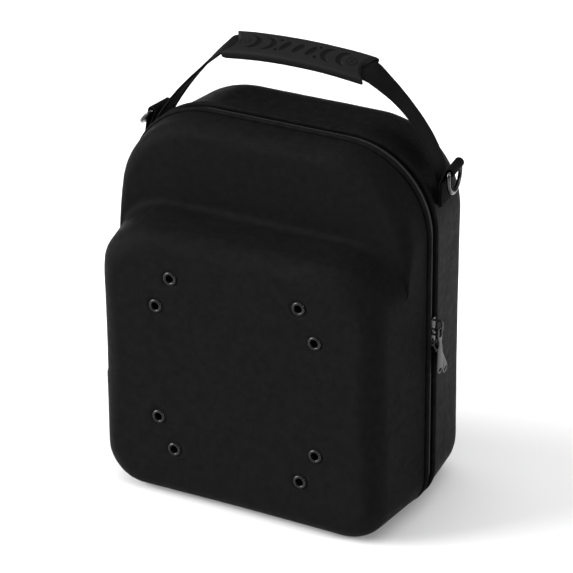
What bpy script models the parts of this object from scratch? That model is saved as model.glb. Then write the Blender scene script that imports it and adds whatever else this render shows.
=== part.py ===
"""Hard moulded carrier case for baseball caps, in metres, +Z up.

The case stands on z = 0 with its width along X, its front towards -Y and its back towards +Y.
The zipper runs in the plane y = 0. Both shells are measured outwards from that plane, as depths.
"""

import math

import bmesh
import bpy
from mathutils import Matrix, Vector

# Outline of both shells, seen from the front
CASE_WIDTH = 0.278
CASE_HEIGHT = 0.330
TOP_CORNER_RADIUS = 0.075
BOTTOM_CORNER_RADIUS = 0.034
TOP_ARC_STEPS = 9
BOTTOM_ARC_STEPS = 5
SIDE_STEPS = 5
END_STEPS = 4

# Shells
WALL = 0.004
SEAT_GAP = 0.0003
RIM_LAND = 0.004
FRONT_DEPTH = 0.0853
FRONT_DRAFT = math.radians(5.3)
FRONT_TOP_DRAFT = math.radians(5.3)
FRONT_EDGE_RADIUS = 0.022
BACK_DEPTH = 0.0866
BACK_DRAFT = math.radians(6.5)
BACK_TOP_DRAFT = math.radians(1.0)
BACK_EDGE_RADIUS = 0.030
FACE_CENTRE_HEIGHT = 0.130
FACE_RING_SHARES = (0.72, 0.42, 0.16)
LEAST_STEP = 0.0008
LEAST_CUT = 0.1
MOST_CUT = 0.48
FLAT_CREASE_SHARE = 0.1
BRIM_EDGE_STEPS = 3
CREASE_STEPS = 3
FACE_EDGE_STEPS = 4

# Brim space and the shoulder of the crown block below it
BRIM_DEPTH = 0.038
BRIM_EDGE_RADIUS = 0.024
CREASE_RADIUS = 0.007
SHOULDER_CORNER_X = 0.082
SHOULDER_CORNER_Z = 0.1955
SHOULDER_RADIUS = 0.0595
SHOULDER_DRAFT = math.radians(11.0)

# Piping, and the zipper between the two pipings
WELT_RADIUS = 0.0022
WELT_DEPTH = 0.0065
WELT_PROUD = 0.003
WELT_FLANGE = 0.003
WELT_ABOVE_FLOOR = 0.0002
WELT_STEPS = 4
TAPE_THICKNESS = 0.001
TAPE_SUNK = 0.0026
CHAIN_WIDTH = 0.0058
CHAIN_THICKNESS = 0.0019
HINGE_TOP = 0.235
HINGE_BOTTOM = 0.050
HINGE_THICKNESS = 0.0016

# Sliders and pull tabs, half way down the right side
SLIDER_MEET_HEIGHT = 0.170
SLIDER_LENGTH = 0.0130
SLIDER_WIDTH = 0.0076
SLIDER_PLATE = 0.0017
SLIDER_NOSE_WIDTH = 0.0048
SLIDER_SHOULDER_DROP = 0.0006
SLIDER_APART = 0.0004
BAIL_WIDTH = 0.0016
BAIL_BAR = 0.0014
BAIL_LENGTH = 0.0100
BAIL_CORNER = 0.0010
WINDOW_CORNER = 0.0005
LOWER_BAIL_HEIGHT = 0.0046
UPPER_BAIL_HEIGHT = 0.0086
PULL_PLAY = 0.0006
PULL_THICKNESS = 0.0016
PULL_BAR = 0.0016
PULL_LENGTH = 0.042
PULL_HEAD_WIDTH = 0.0076
PULL_EYE_WIDTH = 0.0050
PULL_EYE_LENGTH = 0.0072
PULL_NECK_WIDTH = 0.0048
PULL_NECK_LENGTH = 0.0055
PULL_WIDTH = 0.0096
PULL_SHOULDER_WIDTH = 0.0083
PULL_END_STEPS = 6
PULL_SLOT_WIDTH = 0.0054
PULL_SLOT_HEIGHT = 0.0020
PULL_SLOT_RISE = 0.0023
LOWER_PULL_TILT = math.radians(30.0)
LOWER_PULL_SHIFT = 0.0008

# Eyelets: places are half spans across and up from the middle of the crown block's face
EYELET_CENTRE_HEIGHT = 0.1296
EYELET_PLACES = (
    ("half_span_x", "half_span_z"),
    (0.0604, 0.0809),
    (0.0750, 0.0526),
)
EYELET_BORE_RADIUS = 0.0035
EYELET_BARREL = 0.0007
EYELET_FLANGE_RADIUS = 0.0060
EYELET_FLANGE = 0.0010
EYELET_LIP = 0.0006
EYELET_CREST_OUT = 0.0008
EYELET_BACK_RADIUS = 0.0055
EYELET_SIDES = 12

# Handle: webbing from side to side, with a moulded grip
WEBBING_WIDTH = 0.025
WEBBING_THICKNESS = 0.002
HANDLE_DEPTH = 0.026
GRIP_LEAN = 0.007
STRAP_END_DROP = 0.051
GRIP_RISE = 0.046
GRIP_CROWN = 0.004
GRIP_LENGTH = 0.132
GRIP_WIDTH = 0.031
GRIP_THICKNESS = 0.011
GRIP_NOTCH = 0.009
GRIP_TILT = math.radians(17.0)
GRIP_STATIONS = 10
GRIP_SIDES = 12
GRIP_ROUNDING = 0.55
SLOT_ROUNDING = 0.18
STRAP_DIP = -0.34
RIGHT_ROUTE = (
    ("share_inwards", "share_up"),
    (0.0, 0.0),
    (0.01, 0.177),
    (0.07, 0.34),
    (0.173, 0.489),
    (0.308, 0.622),
    (0.468, 0.74),
    (0.641, 0.842),
    (0.822, 0.929),
)
LEFT_ROUTE = (
    ("share_inwards", "share_up"),
    (0.0, 0.0),
    (0.026, 0.115),
    (0.115, 0.255),
    (0.248, 0.408),
    (0.408, 0.565),
    (0.582, 0.712),
    (0.748, 0.841),
    (0.894, 0.941),
)

# D rings in their folded webbing loops
RING_WIRE_RADIUS = 0.00175
RING_INNER_WIDTH = 0.0262
RING_DROP = 0.0215
RING_ARM = 0.007
RING_ARC_STEPS = 10
RING_BAR_STEPS = 3
LOOP_FOLD_RADIUS = 0.0046
LOOP_BORE_RADIUS = 0.0024
LOOP_FOLD_RISE = 0.032
LOOP_END_DROP = 0.0015
LOOP_THICKNESS = 0.0034
LOOP_ARC_STEPS = 10
RING_LOOPS = (
    ("side", "fold_out", "neck_drop", "ring_lean"),
    (1, 0.0095, 0.0110, 0.0),
    (-1, -0.0052, 0.0220, math.radians(44)),
)

HALF_WIDTH = CASE_WIDTH / 2
WELT_EDGE = WELT_DEPTH - WELT_RADIUS
RIM_DEPTH = WELT_DEPTH + WELT_RADIUS + SEAT_GAP
WELT_LIFT = WELT_PROUD + WELT_ABOVE_FLOOR
STRAP_END_HEIGHT = CASE_HEIGHT - STRAP_END_DROP
GRIP_END_HEIGHT = CASE_HEIGHT + GRIP_RISE
LOOP_END_HEIGHT = STRAP_END_HEIGHT - LOOP_END_DROP
CHAIN_FLOOR = -TAPE_SUNK + TAPE_THICKNESS + SEAT_GAP
CHAIN_TOP = CHAIN_FLOOR + CHAIN_THICKNESS
PLATE_FLOOR = CHAIN_TOP + SEAT_GAP
PLATE_TOP = PLATE_FLOOR + SLIDER_PLATE
PULL_DROP = BAIL_LENGTH / 2 - BAIL_BAR - PULL_BAR / 2 - PULL_PLAY

COLOURS = {
    "shell": ((0.016, 0.016, 0.018), 0.85, 0.0),
    "welt": ((0.012, 0.012, 0.014), 0.7, 0.0),
    "zipper": ((0.010, 0.010, 0.012), 0.6, 0.0),
    "webbing": ((0.014, 0.014, 0.016), 0.8, 0.0),
    "rubber": ((0.020, 0.020, 0.022), 0.6, 0.0),
    "black_metal": ((0.035, 0.035, 0.038), 0.3, 1.0),
    "pull_metal": ((0.090, 0.090, 0.095), 0.35, 1.0),
}


def clear_scene():
    for old in list(bpy.data.objects):
        bpy.data.objects.remove(old)


def new_collection(name):
    made = bpy.data.collections.new(name)
    bpy.context.scene.collection.children.link(made)
    return made


def make_material(name):
    colour, roughness, metallic = COLOURS[name]
    made = bpy.data.materials.new(name)
    made.use_nodes = True
    shader = made.node_tree.nodes["Principled BSDF"]
    shader.inputs["Base Color"].default_value = (*colour, 1.0)
    shader.inputs["Roughness"].default_value = roughness
    shader.inputs["Metallic"].default_value = metallic
    return made


def add_object(name, data, material, collection):
    made = bpy.data.objects.new(name, data)
    collection.objects.link(made)
    if material and not data.materials:
        data.materials.append(material)
    return made


def mesh_object(name, shape, material, collection):
    bmesh.ops.recalc_face_normals(shape, faces=shape.faces)
    mesh = bpy.data.meshes.new(name)
    shape.to_mesh(mesh)
    shape.free()
    mesh.shade_smooth()
    mesh.set_sharp_from_angle(angle=math.radians(35))
    return add_object(name, mesh, material, collection)


def rows(table):
    """The rows of a table below its row of column names."""
    return table[1:]


def arc(centre_x, centre_z, radius, start, end, steps):
    """Points of an arc with their outward directions, angles in degrees."""
    points = []
    for step in range(steps + 1):
        angle = math.radians(start + (end - start) * step / steps)
        way = Vector((math.cos(angle), math.sin(angle)))
        points.append((Vector((centre_x, centre_z)) + way * radius, way))
    return points


def straight(start, end, way, steps):
    """Points inside a straight stretch, without its two ends."""
    first, last = Vector(start), Vector(end)
    return [(first.lerp(last, step / steps), Vector(way)) for step in range(1, steps)]


def outline(half, bottom, top, top_radius=TOP_CORNER_RADIUS, bottom_radius=BOTTOM_CORNER_RADIUS):
    """The case's outline clockwise from the left side's hinge top, as (point, outward direction) pairs."""
    high, low = top - top_radius, bottom + bottom_radius
    across_high, across_low = half - top_radius, half - bottom_radius
    points = [(Vector((-half, HINGE_TOP)), Vector((-1, 0)))]
    points += arc(-across_high, high, top_radius, 180, 90, TOP_ARC_STEPS)
    points += straight((-across_high, top), (across_high, top), (0, 1), END_STEPS)
    points += arc(across_high, high, top_radius, 90, 0, TOP_ARC_STEPS)
    points += straight((half, high), (half, low), (1, 0), SIDE_STEPS)
    points += arc(across_low, low, bottom_radius, 0, -90, BOTTOM_ARC_STEPS)
    points += straight((across_low, bottom), (-across_low, bottom), (0, -1), END_STEPS)
    points += arc(-across_low, low, bottom_radius, -90, -180, BOTTOM_ARC_STEPS)
    points += [(Vector((-half, HINGE_BOTTOM)), Vector((-1, 0)))]
    return points


def hinge_stretch(half):
    """The straight stretch of the left side between the zipper's two ends."""
    ends = [(Vector((-half, HINGE_BOTTOM)), Vector((-1, 0)))]
    ends += straight((-half, HINGE_BOTTOM), (-half, HINGE_TOP), (-1, 0), SIDE_STEPS)
    return ends + [(Vector((-half, HINGE_TOP)), Vector((-1, 0)))]


def reach(polygon, origin, way):
    """How far a ray runs from origin to the edge of a closed polygon round it."""
    best = 0.0
    for index, corner in enumerate(polygon):
        edge = polygon[(index + 1) % len(polygon)] - corner
        turn = way.x * edge.y - way.y * edge.x
        if abs(turn) < 1e-12:
            continue
        gap = corner - origin
        along = (gap.x * edge.y - gap.y * edge.x) / turn
        share = (gap.x * way.y - gap.y * way.x) / turn
        if along > best and -1e-9 <= share <= 1 + 1e-9:
            best = along
    return best


def shell_outline(depth, draft, top_draft, inset):
    """The shell's own outline at a depth, narrowed by its draft past the rim's straight land."""
    run = max(depth - RIM_DEPTH - RIM_LAND, 0.0)
    half = HALF_WIDTH - run * math.tan(draft) - inset
    top = CASE_HEIGHT - run * math.tan(top_draft) - inset
    pairs = outline(half, inset, top, TOP_CORNER_RADIUS - inset, BOTTOM_CORNER_RADIUS - inset)
    return [point for point, _ in pairs]


def shoulder_outline(depth, inset):
    """The crown block's outline at a depth: a round-shouldered top, wide open below."""
    radius = SHOULDER_RADIUS - (depth - BRIM_DEPTH) * math.tan(SHOULDER_DRAFT) - inset
    right = arc(SHOULDER_CORNER_X, SHOULDER_CORNER_Z, radius, 90, 0, TOP_ARC_STEPS)
    points = [point for point, _ in right]
    points.append(Vector((points[-1].x, -CASE_HEIGHT)))
    return points + [Vector((-point.x, point.y)) for point in reversed(points)]


def front_levels(inset):
    """The front shell's outlines from its rim to its face; inset is 0 outside and the wall inside."""
    drafts = (FRONT_DRAFT, FRONT_TOP_DRAFT, inset)
    return (
        shell_outline(RIM_DEPTH, *drafts),
        shell_outline(BRIM_DEPTH, *drafts),
        shoulder_outline(BRIM_DEPTH, inset),
        shoulder_outline(FRONT_DEPTH, inset),
        shell_outline(FRONT_DEPTH, *drafts),
    )


def back_levels(inset):
    """The back shell's outlines at its rim and its face."""
    drafts = (BACK_DRAFT, BACK_TOP_DRAFT, inset)
    return shell_outline(RIM_DEPTH, *drafts), shell_outline(BACK_DEPTH, *drafts)


def rounded_corner(before, corner, after, radius, steps):
    """Points of an arc that rounds a corner of a profile, limited by the corner's two sides."""
    back, ahead = before - corner, after - corner
    turn = math.pi - back.angle(ahead)
    cut = min(radius * math.tan(turn / 2), back.length * MOST_CUT, ahead.length * MOST_CUT)
    cut = max(cut, min(back.length, ahead.length) * LEAST_CUT)
    start = corner + back.normalized() * cut
    end = corner + ahead.normalized() * cut
    pull = 4 / 3 * math.tan(turn / 4) / math.tan(turn / 2) if turn > 0.001 else 2 / 3
    first, second = start.lerp(corner, pull), end.lerp(corner, pull)
    points = []
    for step in range(steps + 1):
        share = step / steps
        early, late = start.lerp(first, share), second.lerp(end, share)
        middle = first.lerp(second, share)
        points.append(early.lerp(middle, share).lerp(middle.lerp(late, share), share))
    return points


def front_profile(levels, inset, way, origin):
    """One slice of the front shell from its rim to its face, as (distance from the middle, depth)."""
    rim, brim_wall, brim_block, face_block, face_wall = (reach(level, origin, way) for level in levels)
    start = Vector((rim, RIM_DEPTH))
    land = Vector((rim, RIM_DEPTH + RIM_LAND))
    face_edge = Vector((min(face_block, face_wall), FRONT_DEPTH - inset))
    middle = Vector((0.0, FRONT_DEPTH - inset))
    if brim_wall - brim_block < LEAST_STEP:
        share = (BRIM_DEPTH - land.y) / (FRONT_DEPTH - land.y)
        brim_edge, crease = land.lerp(face_edge, share), land.lerp(face_edge, share + FLAT_CREASE_SHARE)
    else:
        brim_edge, crease = Vector((brim_wall, BRIM_DEPTH - inset)), Vector((brim_block, BRIM_DEPTH - inset))
    points = [start, land]
    points += rounded_corner(land, brim_edge, crease, BRIM_EDGE_RADIUS - inset, BRIM_EDGE_STEPS)
    points += rounded_corner(brim_edge, crease, face_edge, CREASE_RADIUS + inset, CREASE_STEPS)
    points += rounded_corner(crease, face_edge, middle, FRONT_EDGE_RADIUS - inset, FACE_EDGE_STEPS)
    return points + [Vector((points[-1].x * share, middle.y)) for share in FACE_RING_SHARES]


def back_profile(levels, inset, way, origin):
    """One slice of the back shell, from its rim to its face."""
    rim, face = (reach(level, origin, way) for level in levels)
    land = Vector((rim, RIM_DEPTH + RIM_LAND))
    middle = Vector((0.0, BACK_DEPTH - inset))
    points = [Vector((rim, RIM_DEPTH)), land]
    edge = Vector((face, middle.y))
    points += rounded_corner(land, edge, middle, BACK_EDGE_RADIUS - inset, FACE_EDGE_STEPS)
    return points + [Vector((points[-1].x * share, middle.y)) for share in FACE_RING_SHARES[::2]]


def shell(name, profile_of, levels_of, side, material, collection):
    """An open moulded shell, lofted slice by slice round the middle of its face, outside and inside."""
    origin = Vector((0.0, FACE_CENTRE_HEIGHT))
    rim = [point for point, _ in outline(HALF_WIDTH, 0.0, CASE_HEIGHT)]
    rim += [point for point, _ in hinge_stretch(HALF_WIDTH)[1:-1]]
    shape = bmesh.new()
    skins = []
    for inset in (0.0, WALL):
        levels = levels_of(inset)
        slices = []
        for corner in rim:
            way = (corner - origin).normalized()
            places = []
            for distance, depth in profile_of(levels, inset, way, origin):
                flat = origin + way * distance
                places.append(shape.verts.new((flat.x, side * depth, flat.y)))
            slices.append(places)
        middle = shape.verts.new((origin.x, slices[0][-1].co.y, origin.y))
        skins.append((slices, middle))
    for slices, middle in skins:
        for one, other in zip(slices, slices[1:] + slices[:1]):
            for step in range(len(one) - 1):
                shape.faces.new((one[step], one[step + 1], other[step + 1], other[step]))
            shape.faces.new((one[-1], middle, other[-1]))
    outer, inner = skins[0][0], skins[1][0]
    for index, one in enumerate(outer):
        after = (index + 1) % len(outer)
        shape.faces.new((one[0], outer[after][0], inner[after][0], inner[index][0]))
    return mesh_object(name, shape, material, collection)


def eyelet_places():
    """Where the eyelets sit on the front face, as (x, z)."""
    places = []
    for half_x, half_z in rows(EYELET_PLACES):
        for up in (1, -1):
            for across in (-1, 1):
                places.append((across * half_x, EYELET_CENTRE_HEIGHT + up * half_z))
    return places


def cut_eyelet_holes(front, cutters):
    """Round holes through the front face, one for each eyelet's barrel."""
    shape = bmesh.new()
    radius = EYELET_BORE_RADIUS + EYELET_BARREL + SEAT_GAP
    for x, z in eyelet_places():
        place = Matrix.Translation((x, -FRONT_DEPTH, z)) @ Matrix.Rotation(math.radians(90), 4, "X")
        bmesh.ops.create_cone(
            shape, cap_ends=True, segments=EYELET_SIDES, radius1=radius, radius2=radius,
            depth=WALL * 4, matrix=place)
    cutter = mesh_object("eyelet_holes", shape, None, cutters)
    cutter.hide_render = True
    cutter.display_type = "WIRE"
    hole = front.modifiers.new("eyelet holes", "BOOLEAN")
    hole.operation = "DIFFERENCE"
    hole.solver = "EXACT"
    hole.object = cutter


def add_eyelets(material, collection):
    """Eight turned eyelets: a domed flange outside, a barrel through the wall and a rolled end inside."""
    bore, barrel = EYELET_BORE_RADIUS, EYELET_BORE_RADIUS + EYELET_BARREL
    outside, inside = SEAT_GAP, -WALL - SEAT_GAP
    profile = (
        (bore, outside + EYELET_LIP),
        (bore + EYELET_CREST_OUT, outside + EYELET_FLANGE),
        (EYELET_FLANGE_RADIUS, outside),
        (barrel, outside),
        (barrel, inside),
        (EYELET_BACK_RADIUS, inside),
        (bore, inside - EYELET_FLANGE),
    )
    shape = bmesh.new()
    points = [shape.verts.new((x, 0.0, z)) for x, z in profile]
    for index, point in enumerate(points):
        shape.edges.new((point, points[(index + 1) % len(points)]))
    mesh = bpy.data.meshes.new("eyelet")
    shape.to_mesh(mesh)
    shape.free()
    for number, (x, z) in enumerate(eyelet_places(), start=1):
        made = add_object(f"eyelet_{number}", mesh, material, collection)
        made.location = (x, -FRONT_DEPTH, z)
        made.rotation_euler = (math.radians(90), 0, 0)
        turn = made.modifiers.new("turned", "SCREW")
        turn.steps = EYELET_SIDES
        turn.render_steps = EYELET_SIDES
        turn.use_merge_vertices = True
        turn.merge_threshold = 0.00001


def sweep(name, sections, closed, material, collection):
    """A solid through a list of equal rings of points; closed joins the last ring to the first."""
    shape = bmesh.new()
    rings = [[shape.verts.new(point) for point in section] for section in sections]
    count = len(rings[0])
    for index in range(len(rings) if closed else len(rings) - 1):
        one, other = rings[index], rings[(index + 1) % len(rings)]
        for side in range(count):
            after = (side + 1) % count
            shape.faces.new((one[side], one[after], other[after], other[side]))
    if not closed:
        shape.faces.new(rings[0])
        shape.faces.new(rings[-1])
    return mesh_object(name, shape, material, collection)


def along_rim(path, profile):
    """Rings of points for a profile of (outward, depth) pairs carried along the case's outline."""
    sections = []
    for point, way in path:
        section = []
        for outward, depth in profile:
            place = point + way * outward
            section.append((place.x, depth, place.y))
        sections.append(section)
    return sections


def add_seam(materials, collection):
    """The two pipings, the zipper's tape and chain, and the cloth hinge between the zipper's ends."""
    path = outline(HALF_WIDTH, WELT_LIFT, CASE_HEIGHT)
    hinge = hinge_stretch(HALF_WIDTH)
    round_centre = WELT_PROUD - WELT_RADIUS
    for name, side in (("front_welt", -1), ("back_welt", 1)):
        profile = [(-WELT_FLANGE, side * (WELT_DEPTH + WELT_RADIUS))]
        for step in range(WELT_STEPS + 1):
            angle = math.pi / 2 - math.pi * step / WELT_STEPS
            outward = round_centre + WELT_RADIUS * math.cos(angle)
            profile.append((outward, side * (WELT_DEPTH + WELT_RADIUS * math.sin(angle))))
        profile.append((-WELT_FLANGE, side * WELT_EDGE))
        sections = along_rim(path + hinge[1:-1], profile)
        sweep(name, sections, True, materials["welt"], collection)
    half_tape = WELT_EDGE - SEAT_GAP
    tape = box_profile(-TAPE_SUNK, -TAPE_SUNK + TAPE_THICKNESS, half_tape)
    chain = box_profile(CHAIN_FLOOR, CHAIN_TOP, CHAIN_WIDTH / 2)
    strip = box_profile(-TAPE_SUNK, -TAPE_SUNK + HINGE_THICKNESS, half_tape)
    short = SEAT_GAP / (HINGE_TOP - HINGE_BOTTOM)
    low, high = hinge[0][0].lerp(hinge[-1][0], short), hinge[-1][0].lerp(hinge[0][0], short)
    hinge = [(low, hinge[0][1])] + hinge[1:-1] + [(high, hinge[-1][1])]
    sweep("zipper_tape", along_rim(path, tape), False, materials["zipper"], collection)
    sweep("zipper_chain", along_rim(path, chain), False, materials["zipper"], collection)
    sweep("hinge_strip", along_rim(hinge, strip), False, materials["shell"], collection)


def box_profile(low, high, half):
    return [(low, -half), (high, -half), (high, half), (low, half)]


def flat_piece(name, outer, holes, thickness, material, collection):
    """A flat outline with holes, extruded to a thickness, in its own XY plane."""
    curve = bpy.data.curves.new(name, "CURVE")
    curve.dimensions = "2D"
    curve.fill_mode = "BOTH"
    curve.extrude = thickness / 2
    for points in [outer, *holes]:
        spline = curve.splines.new("POLY")
        spline.points.add(len(points) - 1)
        for place, point in zip(spline.points, points):
            place.co = (point[0], point[1], 0.0, 1.0)
        spline.use_cyclic_u = True
    return add_object(name, curve, material, collection)


def as_mesh(made, collection):
    """The curve object again as a mesh with its caps welded, so that a Boolean can take it."""
    graph = bpy.context.evaluated_depsgraph_get()
    mesh = bpy.data.meshes.new_from_object(made.evaluated_get(graph))
    shape = bmesh.new()
    shape.from_mesh(mesh)
    bmesh.ops.remove_doubles(shape, verts=shape.verts, dist=1e-6)
    shape.to_mesh(mesh)
    shape.free()
    name, place = made.name, made.matrix_world.copy()
    bpy.data.objects.remove(made)
    mesh.name = name
    again = add_object(name, mesh, None, collection)
    again.matrix_world = place
    return again


def rectangle(low_x, low_y, high_x, high_y):
    return [(low_x, low_y), (high_x, low_y), (high_x, high_y), (low_x, high_y)]


def add_slider(name, height, bail_height, materials, collection, cutters):
    """A slider on the chain: a plate with a bail over it, which holds the pull tab's bar."""
    half_length, half_bail = SLIDER_LENGTH / 2, BAIL_LENGTH / 2
    nose = SLIDER_NOSE_WIDTH / 2
    shield = [
        (-nose, -half_length), (nose, -half_length), (SLIDER_WIDTH / 2, -SLIDER_SHOULDER_DROP),
        (SLIDER_WIDTH / 2, half_length), (-SLIDER_WIDTH / 2, half_length),
        (-SLIDER_WIDTH / 2, -SLIDER_SHOULDER_DROP),
    ]
    turn = Matrix.Rotation(math.radians(90), 4, "Z") @ Matrix.Rotation(math.radians(90), 4, "X")
    plate = flat_piece(name, shield, [], SLIDER_PLATE, materials["black_metal"], collection)
    plate_middle = HALF_WIDTH + (PLATE_FLOOR + PLATE_TOP) / 2
    plate.matrix_world = Matrix.Translation((plate_middle, 0.0, height)) @ turn
    bpy.context.view_layer.update()
    plate = as_mesh(plate, collection)
    foot = SLIDER_PLATE / 2
    top = bail_height
    rise = top - BAIL_BAR
    inner_half = half_bail - BAIL_BAR
    outer = [
        (-half_bail, -foot), (-half_bail, top - BAIL_CORNER), (-half_bail + BAIL_CORNER, top),
        (half_bail - BAIL_CORNER, top), (half_bail, top - BAIL_CORNER), (half_bail, -foot),
    ]
    window = [
        (-inner_half, 0.0), (-inner_half, rise - WINDOW_CORNER), (-inner_half + WINDOW_CORNER, rise),
        (inner_half - WINDOW_CORNER, rise), (inner_half, rise - WINDOW_CORNER), (inner_half, 0.0),
    ]
    bail = flat_piece(name + "_bail", outer, [window], BAIL_WIDTH, None, cutters)
    upright = Matrix(((0, 1, 0, 0), (0, 0, 1, 0), (1, 0, 0, 0), (0, 0, 0, 1)))
    bail.matrix_world = Matrix.Translation((HALF_WIDTH + PLATE_TOP, 0.0, height)) @ upright
    bpy.context.view_layer.update()
    bail = as_mesh(bail, cutters)
    bail.hide_render = True
    bail.display_type = "WIRE"
    joined = plate.modifiers.new("bail", "BOOLEAN")
    joined.operation = "UNION"
    joined.solver = "EXACT"
    joined.object = bail


def pull_outline():
    """A pull tab hanging down from its bar: a head round the eye, a slim neck, a rounded plate."""
    head, neck, half = PULL_HEAD_WIDTH / 2, PULL_NECK_WIDTH / 2, PULL_WIDTH / 2
    top = PULL_BAR / 2
    head_low = top - PULL_BAR * 2 - PULL_EYE_LENGTH
    neck_low = head_low - PULL_NECK_LENGTH
    right = [
        (head, top), (head, head_low), (neck, head_low - PULL_BAR),
        (neck, neck_low), (PULL_SHOULDER_WIDTH / 2, neck_low - neck), (half, half - PULL_LENGTH),
    ]
    points = list(right)
    for step in range(1, PULL_END_STEPS):
        angle = math.pi * step / PULL_END_STEPS
        points.append((half * math.cos(angle), half - PULL_LENGTH - half * math.sin(angle)))
    return points + [(-x, z) for x, z in reversed(right)]


def add_pull(name, height, bail_height, tilt, shift, material, collection):
    """A pull tab with its eye's top bar inside the bail; its origin is on the bar, its hinge axis."""
    top = -PULL_BAR / 2
    half_eye, half_slot = PULL_EYE_WIDTH / 2, PULL_SLOT_WIDTH / 2
    eye = rectangle(-half_eye, top - PULL_EYE_LENGTH, half_eye, top)
    slot_low = PULL_SLOT_RISE - PULL_LENGTH
    slot = rectangle(-half_slot, slot_low, half_slot, slot_low + PULL_SLOT_HEIGHT)
    made = flat_piece(name, pull_outline(), [eye, slot], PULL_THICKNESS, material, collection)
    turn = Matrix.Rotation(math.radians(90), 4, "Z") @ Matrix.Rotation(math.radians(90), 4, "X")
    out = HALF_WIDTH + PLATE_TOP + bail_height - BAIL_BAR - PULL_BAR / 2 - PULL_PLAY
    lean = Matrix.Rotation(tilt, 4, "X")
    made.matrix_world = Matrix.Translation((out, -shift, height - PULL_DROP)) @ lean @ turn


def wall_reach(depth, height):
    """How far out the back shell's side wall is at a depth and a height."""
    run = max(depth - RIM_DEPTH - RIM_LAND, 0.0)
    half = HALF_WIDTH - run * math.tan(BACK_DRAFT)
    top = CASE_HEIGHT - run * math.tan(BACK_TOP_DRAFT)
    rise = height - (top - TOP_CORNER_RADIUS)
    if rise <= 0:
        return half
    return half - TOP_CORNER_RADIUS + math.sqrt(TOP_CORNER_RADIUS ** 2 - rise ** 2)


def strap_side(route, dip):
    """Stations of the webbing from the right side's seam to the grip, along one of the two routes."""
    end_out = wall_reach(HANDLE_DEPTH, STRAP_END_HEIGHT) + SEAT_GAP + WEBBING_THICKNESS / 2
    sewn = Vector((-math.sin(BACK_DRAFT), math.cos(BACK_DRAFT), 0.0))
    held = Vector((0.0, math.cos(GRIP_TILT), math.sin(GRIP_TILT)))
    side = []
    for inwards, up in rows(route):
        x = end_out + (GRIP_LENGTH / 2 - end_out) * inwards
        z = STRAP_END_HEIGHT + (GRIP_END_HEIGHT - STRAP_END_HEIGHT) * up
        share = up ** 2
        wide = sewn.lerp(held, share) + Vector((0.0, 0.0, 4 * dip * share * (1 - share)))
        side.append((Vector((x, HANDLE_DEPTH + GRIP_LEAN * share, z)), wide.normalized()))
    return side


def strap_stations():
    """The webbing's middle line from the right side to the left, with its width direction at each point."""
    half_grip = GRIP_LENGTH / 2
    held = Vector((0.0, math.cos(GRIP_TILT), math.sin(GRIP_TILT)))
    middle = []
    for step in range(GRIP_STATIONS + 1):
        x = half_grip * (1 - 2 * step / GRIP_STATIONS)
        z = GRIP_END_HEIGHT + GRIP_CROWN * (1 - (x / half_grip) ** 2)
        middle.append((Vector((x, HANDLE_DEPTH + GRIP_LEAN, z)), held))
    mirror = Vector((-1, 1, 1))
    left = [(point * mirror, wide * mirror) for point, wide in reversed(strap_side(LEFT_ROUTE, 0.0))]
    return strap_side(RIGHT_ROUTE, STRAP_DIP) + middle + left, middle


def across_station(stations, index):
    """The direction square to both the run and the width at a station: the webbing's outer face."""
    before = stations[max(index - 1, 0)][0]
    after = stations[min(index + 1, len(stations) - 1)][0]
    run = (after - before).normalized()
    return stations[index][1].cross(run).normalized() * -1


def add_strap(material, collection):
    stations, _ = strap_stations()
    sections = []
    for index, (point, wide) in enumerate(stations):
        face = across_station(stations, index) * WEBBING_THICKNESS / 2
        half = wide * WEBBING_WIDTH / 2
        sections.append([point - half - face, point + half - face, point + half + face, point - half + face])
    sweep("handle_strap", sections, False, material, collection)


def grip_ring(half_wide, half_thick, power):
    """Points round a rounded box, as (across, through) pairs."""
    points = []
    for step in range(GRIP_SIDES):
        angle = 2 * math.pi * (step + 0.5) / GRIP_SIDES
        across, through = math.cos(angle), math.sin(angle)
        points.append((
            half_wide * math.copysign(abs(across) ** power, across),
            half_thick * math.copysign(abs(through) ** power, through),
        ))
    return points


def add_grip(material, collection):
    """The moulded grip: a rounded bar with swallow-tail ends and a slot that the webbing runs through."""
    _, stations = strap_stations()
    outer = grip_ring(GRIP_WIDTH / 2, GRIP_THICKNESS / 2, GRIP_ROUNDING)
    slot = grip_ring(WEBBING_WIDTH / 2 + SEAT_GAP * 2, WEBBING_THICKNESS / 2 + SEAT_GAP * 2, SLOT_ROUNDING)
    shape = bmesh.new()
    tubes = []
    for ring in (outer, slot):
        rings = []
        for index, (point, wide) in enumerate(stations):
            face = across_station(stations, index)
            from_end = min(index, len(stations) - 1 - index)
            inwards = math.copysign(1, -point.x) * max(1 - from_end / 2, 0.0)
            places = []
            for across, through in ring:
                level = min(abs(across) / (GRIP_WIDTH / 2), 1.0)
                notch = GRIP_NOTCH * (1 - level ** 2) * inwards
                place = point + wide * across + face * through + Vector((notch, 0, 0))
                places.append(shape.verts.new(place))
            rings.append(places)
        tubes.append(rings)
    for rings in tubes:
        for one, other in zip(rings, rings[1:]):
            for side in range(len(one)):
                after = (side + 1) % len(one)
                shape.faces.new((one[side], one[after], other[after], other[side]))
    for end in (0, -1):
        one, other = tubes[0][end], tubes[1][end]
        for side in range(len(one)):
            after = (side + 1) % len(one)
            shape.faces.new((one[side], one[after], other[after], other[side]))
    mesh_object("grip", shape, material, collection)


def loop_frame(side, fold_out):
    """Where a D ring's bar lies and how its loop is turned, on the right (1) or the left (-1)."""
    seat = wall_reach(HANDLE_DEPTH, LOOP_END_HEIGHT) + SEAT_GAP * 2 + WEBBING_THICKNESS
    bar_out = seat + fold_out
    place = Matrix.Translation((side * bar_out, HANDLE_DEPTH, LOOP_END_HEIGHT + LOOP_FOLD_RISE))
    yaw = Matrix.Rotation(side * BACK_DRAFT, 4, "Z")
    return place @ yaw


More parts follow.
